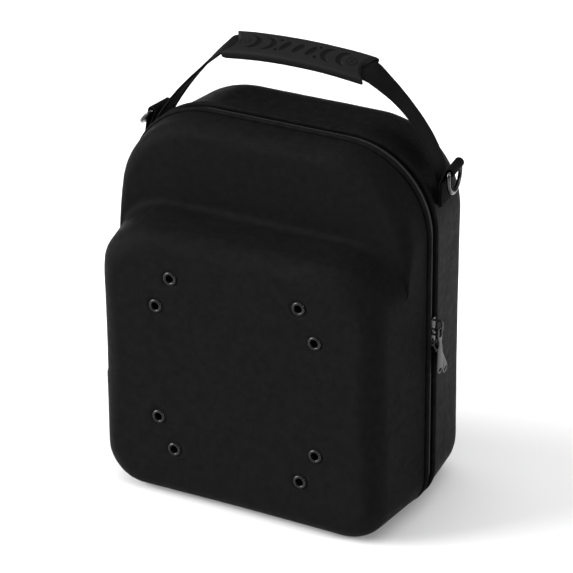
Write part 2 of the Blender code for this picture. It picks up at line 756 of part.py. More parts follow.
def tangent_angle(end, turn):
    """Angle on the fold's circle where a straight side from an end point touches it."""
    away = math.atan2(end[1], end[0])
    return away + turn * math.acos(LOOP_FOLD_RADIUS / math.hypot(*end))


def add_ring_loop(name, side, fold_out, neck_drop, material, collection):
    """Webbing folded over the ring's bar: a round fold above two layers sewn to the side."""
    low, neck = -LOOP_FOLD_RISE, -neck_drop
    inside, outside = -fold_out, -fold_out + LOOP_THICKNESS
    start = tangent_angle((outside, neck), 1)
    end = tangent_angle((inside, neck), -1) + 2 * math.pi
    outer = [(inside, neck), (inside, low), (outside, low), (outside, neck)]
    for step in range(LOOP_ARC_STEPS + 1):
        angle = start + (end - start) * step / LOOP_ARC_STEPS
        outer.append((LOOP_FOLD_RADIUS * math.cos(angle), LOOP_FOLD_RADIUS * math.sin(angle)))
    bore = []
    for step in range(LOOP_ARC_STEPS):
        angle = 2 * math.pi * step / LOOP_ARC_STEPS
        bore.append((LOOP_BORE_RADIUS * math.cos(angle), LOOP_BORE_RADIUS * math.sin(angle)))
    if side < 0:
        outer = [(-x, z) for x, z in outer]
    made = flat_piece(name, outer, [bore], WEBBING_WIDTH, material, collection)
    made.matrix_world = loop_frame(side, fold_out) @ Matrix.Rotation(math.radians(90), 4, "X")


def add_d_ring(name, side, fold_out, lean, material, collection):
    """A wire D ring on its straight bar, hanging or resting on its loop; its origin is its hinge axis."""
    half = RING_INNER_WIDTH / 2 + RING_WIRE_RADIUS
    points = []
    for step in range(RING_BAR_STEPS + 1):
        points.append((0.0, -half + 2 * half * step / RING_BAR_STEPS, 0.0))
    arc_drop = RING_DROP - RING_ARM
    for step in range(RING_ARC_STEPS + 1):
        angle = math.pi * step / RING_ARC_STEPS
        points.append((0.0, half * math.cos(angle), -RING_ARM - arc_drop * math.sin(angle)))
    curve = bpy.data.curves.new(name, "CURVE")
    curve.dimensions = "3D"
    curve.bevel_depth = RING_WIRE_RADIUS
    curve.bevel_resolution = 2
    spline = curve.splines.new("POLY")
    spline.points.add(len(points) - 1)
    for place, point in zip(spline.points, points):
        place.co = (*point, 1.0)
    spline.use_cyclic_u = True
    made = add_object(name, curve, material, collection)
    made.matrix_world = loop_frame(side, fold_out) @ Matrix.Rotation(-side * lean, 4, "Y")


def build():
    clear_scene()
    case = new_collection("cap_carrier_case")
    cutters = new_collection("cutters")
    materials = {name: make_material(name) for name in COLOURS}
    front = shell("front_shell", front_profile, front_levels, -1, materials["shell"], case)
    shell("back_shell", back_profile, back_levels, 1, materials["shell"], case)
    cut_eyelet_holes(front, cutters)
    add_eyelets(materials["black_metal"], case)
    add_seam(materials, case)
    step = (SLIDER_LENGTH + SLIDER_APART) / 2
    upper, lower = SLIDER_MEET_HEIGHT + step, SLIDER_MEET_HEIGHT - step
    tall, short = UPPER_BAIL_HEIGHT, LOWER_BAIL_HEIGHT
    add_slider("slider_upper", upper, tall, materials, case, cutters)
    add_slider("slider_lower", lower, short, materials, case, cutters)
    add_pull("pull_upper", upper, tall, 0.0, 0.0, materials["pull_metal"], case)
    lean, shift = LOWER_PULL_TILT, LOWER_PULL_SHIFT
    add_pull("pull_lower", lower, short, lean, shift, materials["pull_metal"], case)
    add_strap(materials["webbing"], case)
    add_grip(materials["rubber"], case)
    for side, fold_out, neck_drop, ring_lean in rows(RING_LOOPS):
        name = "right" if side > 0 else "left"
        add_ring_loop(f"ring_loop_{name}", side, fold_out, neck_drop, materials["webbing"], case)
        add_d_ring(f"d_ring_{name}", side, fold_out, ring_lean, materials["black_metal"], case)


build()
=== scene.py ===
import math

import bmesh
import bpy
import numpy as np
from mathutils import Matrix, Vector, noise


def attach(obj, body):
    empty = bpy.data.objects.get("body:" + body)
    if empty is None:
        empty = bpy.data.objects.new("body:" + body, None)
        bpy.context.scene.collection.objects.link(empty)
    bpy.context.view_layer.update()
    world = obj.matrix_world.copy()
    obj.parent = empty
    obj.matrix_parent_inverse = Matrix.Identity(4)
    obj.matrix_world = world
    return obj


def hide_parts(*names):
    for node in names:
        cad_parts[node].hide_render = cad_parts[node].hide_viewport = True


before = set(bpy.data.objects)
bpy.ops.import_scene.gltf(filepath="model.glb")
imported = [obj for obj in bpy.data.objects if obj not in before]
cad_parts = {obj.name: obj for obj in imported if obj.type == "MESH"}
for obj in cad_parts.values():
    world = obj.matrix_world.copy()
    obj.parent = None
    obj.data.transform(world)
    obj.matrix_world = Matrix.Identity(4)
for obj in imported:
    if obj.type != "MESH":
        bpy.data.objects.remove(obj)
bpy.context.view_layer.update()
print("frame loaded:", len(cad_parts), "nodes")

mm = 0.001  # every size below is in millimetres, and newMesh scales it


# mesh helpers

def newMesh(name, points, faces, material, body, replaces=(), smooth=45, uv=None):
    mesh = bpy.data.meshes.new(name)
    mesh.from_pydata([tuple(p) for p in np.asarray(points, float) * mm], [], faces)
    mesh.update()
    if uv is not None:
        layer = mesh.uv_layers.new(name="along")
        spots = np.asarray(uv, float)[[loop.vertex_index for loop in mesh.loops]]
        layer.data.foreach_set("uv", spots.ravel() * mm)
    shape = bmesh.new()
    shape.from_mesh(mesh)
    bmesh.ops.recalc_face_normals(shape, faces=shape.faces)
    shape.to_mesh(mesh)
    shape.free()
    mesh.shade_smooth()
    mesh.set_sharp_from_angle(angle=math.radians(smooth))
    mesh.materials.append(material)
    piece = bpy.data.objects.new(name, mesh)
    bpy.context.scene.collection.objects.link(piece)
    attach(piece, body)
    if replaces:
        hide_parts(*replaces)
    return piece


def gridFaces(rows, columns, closeRows=False, closeColumns=False, start=0):
    faces = []
    for i in range(rows if closeRows else rows - 1):
        for j in range(columns if closeColumns else columns - 1):
            a, b = i * columns + j, i * columns + (j + 1) % columns
            c, d = ((i + 1) % rows) * columns + (j + 1) % columns, ((i + 1) % rows) * columns + j
            faces.append((start + a, start + b, start + c, start + d))
    return faces


def sweepRings(rings, closed=False):
    # points and faces of a solid through equal rings
    count = len(rings[0])
    points = np.concatenate(rings)
    faces = gridFaces(len(rings), count, closeRows=closed, closeColumns=True)
    if not closed:
        faces.append(tuple(range(count)))
        faces.append(tuple(range(len(points) - count, len(points))))
    return points, faces


def applied(piece):
    # the piece with its modifiers made part of its mesh
    graph = bpy.context.evaluated_depsgraph_get()
    mesh = bpy.data.meshes.new_from_object(piece.evaluated_get(graph))
    old = piece.data
    piece.modifiers.clear()
    piece.data = mesh
    bpy.data.meshes.remove(old)
    return piece


def smoothStep(low, high, value):
    share = np.clip((value - low) / (high - low), 0.0, 1.0)
    return share * share * (3 - 2 * share)


# shared shader groups

def newGroup(name, inputs, outputs):
    # an input is a vector where its default is None, and a number otherwise; outputs are numbers
    group = bpy.data.node_groups.new(name, "ShaderNodeTree")
    for label, value in inputs.items():
        kind = "NodeSocketVector" if value is None else "NodeSocketFloat"
        made = group.interface.new_socket(label, in_out="INPUT", socket_type=kind)
        if value is not None:
            made.default_value = value
    for label in outputs:
        group.interface.new_socket(label, in_out="OUTPUT", socket_type="NodeSocketFloat")
    return group, group.nodes.new("NodeGroupInput"), group.nodes.new("NodeGroupOutput")


def mathNode(tree, operation, first, second=None, third=None):
    node = tree.nodes.new("ShaderNodeMath")
    node.operation = operation
    for slot, value in enumerate((first, second, third)):
        if value is None:
            continue
        if isinstance(value, (int, float)):
            node.inputs[slot].default_value = value
        else:
            tree.links.new(value, node.inputs[slot])
    return node.outputs[0]


def ramp(tree, value, low, high, newLow=0.0, newHigh=1.0):
    node = tree.nodes.new("ShaderNodeMapRange")
    for slot, number in zip(("From Min", "From Max", "To Min", "To Max"), (low, high, newLow, newHigh)):
        node.inputs[slot].default_value = number
    tree.links.new(value, node.inputs["Value"])
    return node.outputs["Result"]


def noiseNode(tree, vector, scale, detail=2.0, roughness=0.5):
    node = tree.nodes.new("ShaderNodeTexNoise")
    node.inputs["Detail"].default_value = detail
    node.inputs["Roughness"].default_value = roughness
    tree.links.new(vector, node.inputs["Vector"])
    if isinstance(scale, (int, float)):
        node.inputs["Scale"].default_value = scale
    else:
        tree.links.new(scale, node.inputs["Scale"])
    return node.outputs["Fac"]


def makeClothGrain():
    # a fine plain weave that follows any surface: three crossed waves, broken up by noise
    inputs = {"Position": None, "Thread Pitch": 0.0008, "Unevenness": 0.5}
    group, given, result = newGroup("clothGrain", inputs, ("Height", "Tint"))
    apart = group.nodes.new("ShaderNodeSeparateXYZ")
    group.links.new(given.outputs["Position"], apart.inputs[0])
    turn = mathNode(group, "DIVIDE", 2 * math.pi, given.outputs["Thread Pitch"])
    waves = [mathNode(group, "SINE", mathNode(group, "MULTIPLY", axis, turn)) for axis in apart.outputs]
    pairs = mathNode(group, "MULTIPLY", waves[0], waves[2])
    pairs = mathNode(group, "MULTIPLY_ADD", waves[1], waves[2], pairs)
    pairs = mathNode(group, "MULTIPLY_ADD", waves[0], waves[1], pairs)
    weave = ramp(group, pairs, -1.0, 1.0)
    fuzz = noiseNode(group, given.outputs["Position"], 900.0, 3.0, 0.6)
    lumps = noiseNode(group, given.outputs["Position"], 160.0, 3.0, 0.6)
    mixed = mathNode(group, "MULTIPLY_ADD", fuzz, given.outputs["Unevenness"], weave)
    group.links.new(mathNode(group, "MULTIPLY_ADD", lumps, given.outputs["Unevenness"], mixed),
                    result.inputs["Height"])
    spots = mathNode(group, "MULTIPLY", fuzz, lumps)
    group.links.new(ramp(group, spots, 0.12, 0.4), result.inputs["Tint"])
    return group


def makeRibWeave():
    # webbing and tape: ribs across the strip, with threads that pass over and under along it
    inputs = {"Along": None, "Rib Pitch": 0.0016, "Thread Pitch": 0.0012}
    group, given, result = newGroup("ribWeave", inputs, ("Height", "Tint"))
    apart = group.nodes.new("ShaderNodeSeparateXYZ")
    group.links.new(given.outputs["Along"], apart.inputs[0])
    ribTurn = mathNode(group, "DIVIDE", 2 * math.pi, given.outputs["Rib Pitch"])
    threadTurn = mathNode(group, "DIVIDE", 2 * math.pi, given.outputs["Thread Pitch"])
    across = mathNode(group, "MULTIPLY", apart.outputs[0], threadTurn)
    shift = mathNode(group, "MULTIPLY", mathNode(group, "SIGN", mathNode(group, "SINE", across)), 1.5708)
    ribs = mathNode(group, "SINE", mathNode(group, "MULTIPLY_ADD", apart.outputs[1], ribTurn, shift))
    threads = mathNode(group, "ABSOLUTE", mathNode(group, "SINE", across))
    height = mathNode(group, "MULTIPLY", ramp(group, ribs, -1.0, 1.0), threads)
    fuzz = noiseNode(group, given.outputs["Along"], 1500.0, 2.0)
    group.links.new(mathNode(group, "MULTIPLY_ADD", fuzz, 0.35, height), result.inputs["Height"])
    group.links.new(mathNode(group, "MULTIPLY_ADD", fuzz, 0.4, height), result.inputs["Tint"])
    return group


def makeDust():
    # pale lint that settles on faces that look up, in loose patches
    group, given, result = newGroup("dust", {"Position": None, "Amount": 0.2}, ("Mask",))
    face = group.nodes.new("ShaderNodeNewGeometry")
    apart = group.nodes.new("ShaderNodeSeparateXYZ")
    group.links.new(face.outputs["Normal"], apart.inputs[0])
    up = ramp(group, apart.outputs[2], 0.0, 1.0, 0.35, 1.0)
    patches = ramp(group, noiseNode(group, given.outputs["Position"], 40.0, 4.0, 0.65), 0.42, 0.8)
    specks = ramp(group, noiseNode(group, given.outputs["Position"], 700.0, 2.0), 0.58, 0.75)
    both = mathNode(group, "MULTIPLY_ADD", patches, 0.6, specks)
    settled = mathNode(group, "MULTIPLY", both, up)
    group.links.new(mathNode(group, "MULTIPLY", settled, given.outputs["Amount"]), result.inputs["Mask"])
    return group


def makeEdgeWear():
    # convex edges rubbed to a lighter tone
    group, given, result = newGroup("edgeWear", {"Position": None, "Reach": 0.06}, ("Mask",))
    face = group.nodes.new("ShaderNodeNewGeometry")
    edge = mathNode(group, "SUBTRACT", face.outputs["Pointiness"], 0.5)
    edge = mathNode(group, "DIVIDE", edge, given.outputs["Reach"])
    rub = noiseNode(group, given.outputs["Position"], 300.0, 4.0, 0.6)
    worn = mathNode(group, "MULTIPLY", edge, rub)
    group.links.new(ramp(group, worn, 0.1, 0.6), result.inputs["Mask"])
    return group


clothGrain, ribWeave, dust, edgeWear = makeClothGrain(), makeRibWeave(), makeDust(), makeEdgeWear()
print("shader groups made")


# materials

def startMaterial(name, roughness, metallic=0.0, specular=0.5):
    material = bpy.data.materials.new(name)
    material.use_nodes = True
    tree = material.node_tree
    shader = tree.nodes["Principled BSDF"]
    shader.inputs["Roughness"].default_value = roughness
    shader.inputs["Metallic"].default_value = metallic
    shader.inputs["Specular IOR Level"].default_value = specular
    place = tree.nodes.new("ShaderNodeTexCoord").outputs["Object"]
    return material, tree, shader, place


def useGroup(tree, group, **values):
    node = tree.nodes.new("ShaderNodeGroup")
    node.node_tree = group
    for label, value in values.items():
        socket = node.inputs[label.replace("_", " ")]
        if isinstance(value, (int, float)):
            socket.default_value = value
        else:
            tree.links.new(value, socket)
    return node


def mixColours(tree, mask, low, high):
    node = tree.nodes.new("ShaderNodeMix")
    node.data_type = "RGBA"
    tree.links.new(mask, node.inputs["Factor"])
    for label, value in (("A", low), ("B", high)):
        socket = [s for s in node.inputs if s.name == label and s.type == "RGBA"][0]
        if isinstance(value, tuple):
            socket.default_value = (*value, 1)
        else:
            tree.links.new(value, socket)
    return [s for s in node.outputs if s.type == "RGBA"][0]


def addBump(tree, shader, height, distance, strength=1.0):
    bump = tree.nodes.new("ShaderNodeBump")
    bump.inputs["Strength"].default_value = strength
    bump.inputs["Distance"].default_value = distance
    tree.links.new(height, bump.inputs["Height"])
    tree.links.new(bump.outputs["Normal"], shader.inputs["Normal"])


def clothMaterial(name, dark, light, pitch, bump, dustAmount, roughness=0.46):
    material, tree, shader, place = startMaterial(name, roughness, specular=0.012)
    grain = useGroup(tree, clothGrain, Position=place, Thread_Pitch=pitch, Unevenness=0.7)
    lint = useGroup(tree, dust, Position=place, Amount=dustAmount)
    colour = mixColours(tree, grain.outputs["Tint"], dark, light)
    colour = mixColours(tree, lint.outputs["Mask"], colour, (0.05, 0.05, 0.052))
    tree.links.new(colour, shader.inputs["Base Color"])
    tree.links.new(ramp(tree, grain.outputs["Tint"], 0, 1, roughness + 0.08, roughness - 0.1),
                   shader.inputs["Roughness"])
    addBump(tree, shader, grain.outputs["Height"], bump)
    return material


def stripMaterial(name, dark, light, ribPitch, threadPitch, bump):
    material, tree, shader, place = startMaterial(name, 0.65, specular=0.015)
    along = tree.nodes.new("ShaderNodeUVMap")
    along.uv_map = "along"
    weave = useGroup(tree, ribWeave, Along=along.outputs["UV"], Rib_Pitch=ribPitch, Thread_Pitch=threadPitch)
    lint = useGroup(tree, dust, Position=place, Amount=0.15)
    colour = mixColours(tree, weave.outputs["Tint"], dark, light)
    colour = mixColours(tree, lint.outputs["Mask"], colour, (0.03, 0.03, 0.031))
    tree.links.new(colour, shader.inputs["Base Color"])
    tree.links.new(ramp(tree, weave.outputs["Tint"], 0, 1, 0.85, 0.62), shader.inputs["Roughness"])
    addBump(tree, shader, weave.outputs["Height"], bump)
    return material


def metalMaterial(name, dark, worn, roughness, metallic=1.0):
    material, tree, shader, place = startMaterial(name, roughness, metallic)
    wear = useGroup(tree, edgeWear, Position=place, Reach=0.08)
    grain = noiseNode(tree, place, 420.0, 4.0, 0.6)
    colour = mixColours(tree, wear.outputs["Mask"], dark, worn)
    tree.links.new(colour, shader.inputs["Base Color"])
    polish = ramp(tree, grain, 0.3, 0.7, roughness - 0.06, roughness + 0.1)
    tree.links.new(polish, shader.inputs["Roughness"])
    addBump(tree, shader, grain, 0.00004, 0.6)
    return material


def rubberMaterial():
    material, tree, shader, place = startMaterial("gripRubber", 0.55, specular=0.06)
    lint = useGroup(tree, dust, Position=place, Amount=0.12)
    wear = useGroup(tree, edgeWear, Position=place, Reach=0.1)
    # painted shade: the rubber is coloured near black inside the recessed shapes on the grip's top, where
    # the hollows would be shaded
    recess = tree.nodes.new("ShaderNodeAttribute")
    recess.attribute_name = "recess"
    grain = noiseNode(tree, place, 1400.0, 3.0, 0.6)
    colour = mixColours(tree, wear.outputs["Mask"], (0.0065, 0.0065, 0.0068), (0.014, 0.014, 0.0145))
    colour = mixColours(tree, lint.outputs["Mask"], colour, (0.03, 0.03, 0.03))
    colour = mixColours(tree, recess.outputs["Fac"], colour, (0.0015, 0.0015, 0.0016))
    tree.links.new(colour, shader.inputs["Base Color"])
    tree.links.new(ramp(tree, grain, 0.3, 0.7, 0.5, 0.66), shader.inputs["Roughness"])
    addBump(tree, shader, grain, 0.00015, 0.5)
    return material


shellCloth = clothMaterial("shellCloth", (0.0046, 0.0046, 0.0047), (0.0072, 0.0072, 0.0073), 0.0009,
                           0.00012, dustAmount=0.03)
pipingCloth = clothMaterial("pipingCloth", (0.0036, 0.0036, 0.0038), (0.0075, 0.0075, 0.0077), 0.0007,
                            0.0001, dustAmount=0.06, roughness=0.5)
tapeWeave = stripMaterial("tapeWeave", (0.003, 0.003, 0.0032), (0.007, 0.007, 0.0072), 0.0012, 0.0010,
                          0.00012)
webbingWeave = stripMaterial("webbingWeave", (0.003, 0.003, 0.0032), (0.008, 0.008, 0.0082), 0.0022, 0.0016,
                             0.0003)
threadMaterial = clothMaterial("thread", (0.004, 0.004, 0.0042), (0.011, 0.011, 0.0115), 0.0004, 0.00005,
                               dustAmount=0.0, roughness=0.55)
coilNylon = metalMaterial("coilNylon", (0.006, 0.006, 0.0065), (0.018, 0.018, 0.019), 0.45, metallic=0.0)
blackMetal = metalMaterial("blackMetal", (0.016, 0.016, 0.017), (0.09, 0.09, 0.092), 0.26)
ringMetal = metalMaterial("ringMetal", (0.03, 0.03, 0.032), (0.12, 0.12, 0.122), 0.18)
pullMetal = metalMaterial("pullMetal", (0.045, 0.045, 0.047), (0.16, 0.16, 0.162), 0.3)
eyeletEnamel = metalMaterial("eyeletEnamel", (0.022, 0.022, 0.023), (0.08, 0.08, 0.082), 0.24, metallic=0.85)
gripRubber = rubberMaterial()
print("materials made")


# the shells: slices round the middle of the face, each a filleted profile from the rim to the face

case = {
    "halfWidth": 139.0, "height": 330.0, "topRadius": 75.0, "bottomRadius": 34.0,
    "wall": 4.0, "rimDepth": 9.0, "land": 4.0, "middleHeight": 130.0,
    "slices": 400, "waviness": 0.22, "longWave": 42, "shortWave": 17, "waveBias": 0.6,
    "leastCut": 0.1, "mostCut": 0.48,  # a fillet's share of the shorter line beside it
}
front = {
    "depth": 85.3, "draft": 5.3, "topDraft": 5.3, "edgeRadius": 22.0,
    "brimDepth": 38.0, "brimEdgeRadius": 24.0, "creaseRadius": 7.0,
    "shoulderX": 82.0, "shoulderZ": 195.5, "shoulderRadius": 59.5, "shoulderDraft": 11.0,
    "meltIn": 5.0,  # how softly the shoulder runs into the side wall
}
back = {"depth": 86.6, "draft": 6.5, "topDraft": 1.0, "edgeRadius": 30.0}
eyelets = {
    "centreHeight": 129.6, "places": ((60.4, 80.9), (75.0, 52.6)), "boreRadius": 3.5, "holeRadius": 4.5,
    "flangeRadius": 6.0, "flangeHeight": 1.0, "lip": 1.25, "dishRadius": 9.5, "dishDepth": 0.75,
    "dishShare": 0.6, "ringWidth": 0.9,  # the dish, and the narrower ring pressed in beside the flange
}


def caseOutline(half, bottom, top, topRadius, bottomRadius, step=2.5):
    # points and outward directions clockwise from the left side's bottom, evenly spaced
    corners = (
        (-half + topRadius, top - topRadius, topRadius, 180, 90),
        (half - topRadius, top - topRadius, topRadius, 90, 0),
        (half - bottomRadius, bottom + bottomRadius, bottomRadius, 0, -90),
        (-half + bottomRadius, bottom + bottomRadius, bottomRadius, -90, -180),
    )
    points, ways = [], []
    for index, (x, z, radius, start, end) in enumerate(corners, start=1):
        count = max(int(radius * math.pi / 2 / step), 4)
        for angle in np.radians(np.linspace(start, end, count + 1)):
            way = np.array((math.cos(angle), math.sin(angle)))
            points.append(np.array((x, z)) + way * radius)
            ways.append(way)
        nextX, nextZ, nextRadius, nextStart, _ = corners[index % 4]
        turn = math.radians(nextStart)
        goal = np.array((nextX + math.cos(turn) * nextRadius, nextZ + math.sin(turn) * nextRadius))
        last = points[-1]
        run = goal - last
        count = max(int(np.hypot(*run) / step), 2)
        for share in np.arange(1, count) / count:
            points.append(last + run * share)
            ways.append(way)
    return np.array(points), np.array(ways)


def rimOutline(lift, step):
    return caseOutline(case["halfWidth"], lift, case["height"], case["topRadius"], case["bottomRadius"],
                       step)


def unitRows(rows):
    return rows / np.linalg.norm(rows, axis=1)[:, None]


def runLengths(points):
    # the distance along a path at each of its points
    return np.concatenate(([0], np.cumsum(np.linalg.norm(np.diff(points, axis=0), axis=1))))


def reachAll(polygon, origin, ways):
    # how far each ray runs from the origin to a closed polygon round it
    edges = np.roll(polygon, -1, axis=0) - polygon
    gaps = polygon - origin
    turn = ways[:, :1] * edges[None, :, 1] - ways[:, 1:] * edges[None, :, 0]
    turn = np.where(np.abs(turn) < 1e-12, 1e-12, turn)
    along = (gaps[:, 0] * edges[:, 1] - gaps[:, 1] * edges[:, 0])[None] / turn
    share = (gaps[None, :, 0] * ways[:, 1:] - gaps[None, :, 1] * ways[:, :1]) / turn
    along = np.where((share >= -1e-9) & (share <= 1 + 1e-9) & (along > 0), along, 0)
    return along.max(axis=1)


def shellOutline(depth, draft, topDraft, inset):
    run = max(depth - case["rimDepth"] - case["land"], 0)
    half = case["halfWidth"] - run * math.tan(math.radians(draft)) - inset
    top = case["height"] - run * math.tan(math.radians(topDraft)) - inset
    return caseOutline(half, inset, top, case["topRadius"] - inset, case["bottomRadius"] - inset)[0]


def shoulderOutline(depth, inset):
    radius = front["shoulderRadius"] - inset
    radius -= (depth - front["brimDepth"]) * math.tan(math.radians(front["shoulderDraft"]))
    angles = np.radians(np.linspace(90, 0, 31))
    middleX, middleZ = front["shoulderX"], front["shoulderZ"]
    right = [(middleX + radius * math.cos(a), middleZ + radius * math.sin(a)) for a in angles]
    right.append((right[-1][0], -case["height"]))
    return np.array(right + [(-x, z) for x, z in reversed(right)])


def filletPoints(before, corner, after, radius, steps):
    back, ahead = before - corner, after - corner
    backLength, aheadLength = np.hypot(*back), np.hypot(*ahead)
    cosine = np.clip(np.dot(back, ahead) / (backLength * aheadLength), -1, 1)
    turn = math.pi - math.acos(cosine)
    shorter = min(backLength, aheadLength)
    cut = np.clip(radius * math.tan(turn / 2), shorter * case["leastCut"], shorter * case["mostCut"])
    start, end = corner + back / backLength * cut, corner + ahead / aheadLength * cut
    pull = 4 / 3 * math.tan(turn / 4) / math.tan(turn / 2) if turn > 0.001 else 2 / 3
    first, second = start + (corner - start) * pull, end + (corner - end) * pull
    t = np.linspace(0, 1, steps + 1)[:, None]
    return (1 - t) ** 3 * start + 3 * (1 - t) ** 2 * t * first + 3 * (1 - t) * t * t * second + t ** 3 * end


def linePoints(start, end, steps):
    shares = (np.arange(1, steps) / steps)[:, None]
    return start + (end - start) * shares


def softMin(first, second, width):
    blendShare = np.clip(0.5 + 0.5 * (second - first) / width, 0, 1)
    return second + (first - second) * blendShare - width * blendShare * (1 - blendShare)


def frontSlices(ways, inset, fine):
    origin = np.array((0, case["middleHeight"]))
    drafts = (front["draft"], front["topDraft"], inset)
    rim = reachAll(shellOutline(case["rimDepth"], *drafts), origin, ways)
    brimWall = reachAll(shellOutline(front["brimDepth"], *drafts), origin, ways)
    faceWall = reachAll(shellOutline(front["depth"], *drafts), origin, ways)
    brimBlock = reachAll(shoulderOutline(front["brimDepth"], inset), origin, ways)
    brimBlock = softMin(brimBlock, brimWall, front["meltIn"])
    faceBlock = reachAll(shoulderOutline(front["depth"], inset), origin, ways)
    faceBlock = softMin(faceBlock, faceWall, front["meltIn"])
    below = ways[:, 1] < -0.2
    brimBlock[below], faceBlock[below] = brimWall[below], faceWall[below]
    slices = []
    for index in range(len(ways)):
        land = np.array((rim[index], case["rimDepth"] + case["land"]))
        face = np.array((faceBlock[index], front["depth"] - inset))
        middle = np.array((0.0, face[1]))
        if brimWall[index] - brimBlock[index] < 0.8:
            share = (front["brimDepth"] - land[1]) / (front["depth"] - land[1])
            brim, crease = land + (face - land) * share, land + (face - land) * (share + 0.1)
        else:
            brim = np.array((brimWall[index], front["brimDepth"] - inset))
            crease = np.array((brimBlock[index], brim[1]))
        first = filletPoints(land, brim, crease, front["brimEdgeRadius"] - inset, 10 if fine else 4)
        second = filletPoints(brim, crease, face, front["creaseRadius"] + inset, 8 if fine else 4)
        third = filletPoints(crease, face, middle, front["edgeRadius"] - inset, 12 if fine else 5)
        rings = [np.array([(rim[index], case["rimDepth"])]), land[None],
                 linePoints(land, first[0], 4), first,
                 linePoints(first[-1], second[0], 6 if fine else 3), second,
                 linePoints(second[-1], third[0], 10 if fine else 3), third]
        shares = (0.6, 0.2)
        if fine:  # closer together where the eyelets are
            shares = np.concatenate((np.linspace(1, 0.66, 42)[1:], np.linspace(0.66, 0.04, 14)[1:]))
        rings.append(np.array([(third[-1][0] * share, middle[1]) for share in shares]))
        slices.append(np.concatenate(rings))
    return slices


def backSlices(ways, inset, fine):
    origin = np.array((0, case["middleHeight"]))
    drafts = (back["draft"], back["topDraft"], inset)
    rim = reachAll(shellOutline(case["rimDepth"], *drafts), origin, ways)
    faceWall = reachAll(shellOutline(back["depth"], *drafts), origin, ways)
    slices = []
    for index in range(len(ways)):
        land = np.array((rim[index], case["rimDepth"] + case["land"]))
        face = np.array((faceWall[index], back["depth"] - inset))
        middle = np.array((0.0, face[1]))
        edge = filletPoints(land, face, middle, back["edgeRadius"] - inset, 14 if fine else 5)
        rings = [np.array([(rim[index], case["rimDepth"])]), land[None], linePoints(land, edge[0], 12), edge]
        shares = np.linspace(1, 0.04, 26)[1:] if fine else (0.6, 0.2)
        rings.append(np.array([(edge[-1][0] * share, middle[1]) for share in shares]))
        slices.append(np.concatenate(rings))
    return slices


def eyeletCentres():
    centres = []
    for halfX, halfZ in eyelets["places"]:
        for up in (1, -1):
            for across in (-1, 1):
                centres.append((across * halfX, eyelets["centreHeight"] + up * halfZ))
    return centres


def relaxSurface(points, side, face):
    # the slight unevenness of foam under cloth, and the dish that each eyelet pulls into the face
    rimFade = smoothStep(case["rimDepth"] + 2, case["rimDepth"] + 18, np.abs(points[:, 1]))
    floorFade = smoothStep(1.0, 14.0, points[:, 2])
    longWave, shortWave = case["longWave"], case["shortWave"]
    wave = np.array([noise.noise(Vector(p) / longWave) + 0.5 * noise.noise(Vector(p) / shortWave)
                     for p in points])
    inward = unitRows(np.array((0, 0, case["middleHeight"])) - points)
    moved = points + inward * ((wave + case["waveBias"]) * case["waviness"] * rimFade * floorFade)[:, None]
    if face:
        flat = np.abs(points[:, 1]) > face["depth"] - 1.0
        ringWidth = eyelets["ringWidth"]
        for x, z in eyeletCentres():
            away = np.hypot(points[:, 0] - x, points[:, 2] - z)
            dish = 1 - smoothStep(eyelets["flangeRadius"] - 0.5, eyelets["dishRadius"], away)
            ring = np.exp(-((away - eyelets["flangeRadius"] - ringWidth) / ringWidth) ** 2)
            for pressed in (dish, ring):
                moved[:, 1] -= side * pressed * eyelets["dishDepth"] * eyelets["dishShare"] * flat
    return moved


def buildShell(name, slicesOf, side, node, face=None):
    origin = np.array((0, case["middleHeight"]))
    rim, _ = rimOutline(0, 1.0)
    spread = np.linspace(0, len(rim), case["slices"], endpoint=False).astype(int)
    ways = rim[spread] - origin
    ways /= np.hypot(ways[:, 0], ways[:, 1])[:, None]
    allPoints, faces, rims = [], [], []
    for inset, fine in ((0.0, True), (case["wall"], False)):
        slices = slicesOf(ways, inset, fine)
        count = len(slices[0])
        grid = []
        for way, profile in zip(ways, slices):
            flat = origin + way * profile[:, :1]
            grid.append(np.stack((flat[:, 0], side * profile[:, 1], flat[:, 1]), axis=1))
        points = np.concatenate(grid)
        if fine:
            points = relaxSurface(points, side, face)
        start = sum(len(p) for p in allPoints)
        faces += gridFaces(len(ways), count, closeRows=True, start=start)
        faces.append(tuple(start + i * count + count - 1 for i in range(len(ways))))
        rims.append([start + i * count for i in range(len(ways))])
        allPoints.append(points)
    outer, inner = rims
    for index in range(len(ways)):
        after = (index + 1) % len(ways)
        faces.append((outer[index], outer[after], inner[after], inner[index]))
    return newMesh(name, np.concatenate(allPoints), faces, shellCloth, "case", [node], smooth=60)


def cutEyeletHoles(shell):
    cutter, radius = bmesh.new(), eyelets["holeRadius"] * mm
    for x, z in eyeletCentres():
        place = Matrix.Translation((x * mm, -front["depth"] * mm, z * mm))
        place @= Matrix.Rotation(math.pi / 2, 4, "X")
        bmesh.ops.create_cone(cutter, cap_ends=True, segments=32, radius1=radius, radius2=radius, depth=0.02,
                              matrix=place)
    mesh = bpy.data.meshes.new("holes")
    cutter.to_mesh(mesh)
    cutter.free()
    holes = bpy.data.objects.new("holes", mesh)
    bpy.context.scene.collection.objects.link(holes)
    cut = shell.modifiers.new("holes", "BOOLEAN")
    cut.operation, cut.solver, cut.object = "DIFFERENCE", "EXACT", holes
    applied(shell)
    bpy.data.objects.remove(holes)


frontShell = buildShell("frontShell", frontSlices, -1, "front_shell", front)
cutEyeletHoles(frontShell)
backShell = buildShell("backShell", backSlices, 1, "back_shell")
print("shells made:", len(frontShell.data.polygons), len(backShell.data.polygons), "faces")


# eyelets: a rolled flange outside, a barrel through the wall and a flared end inside

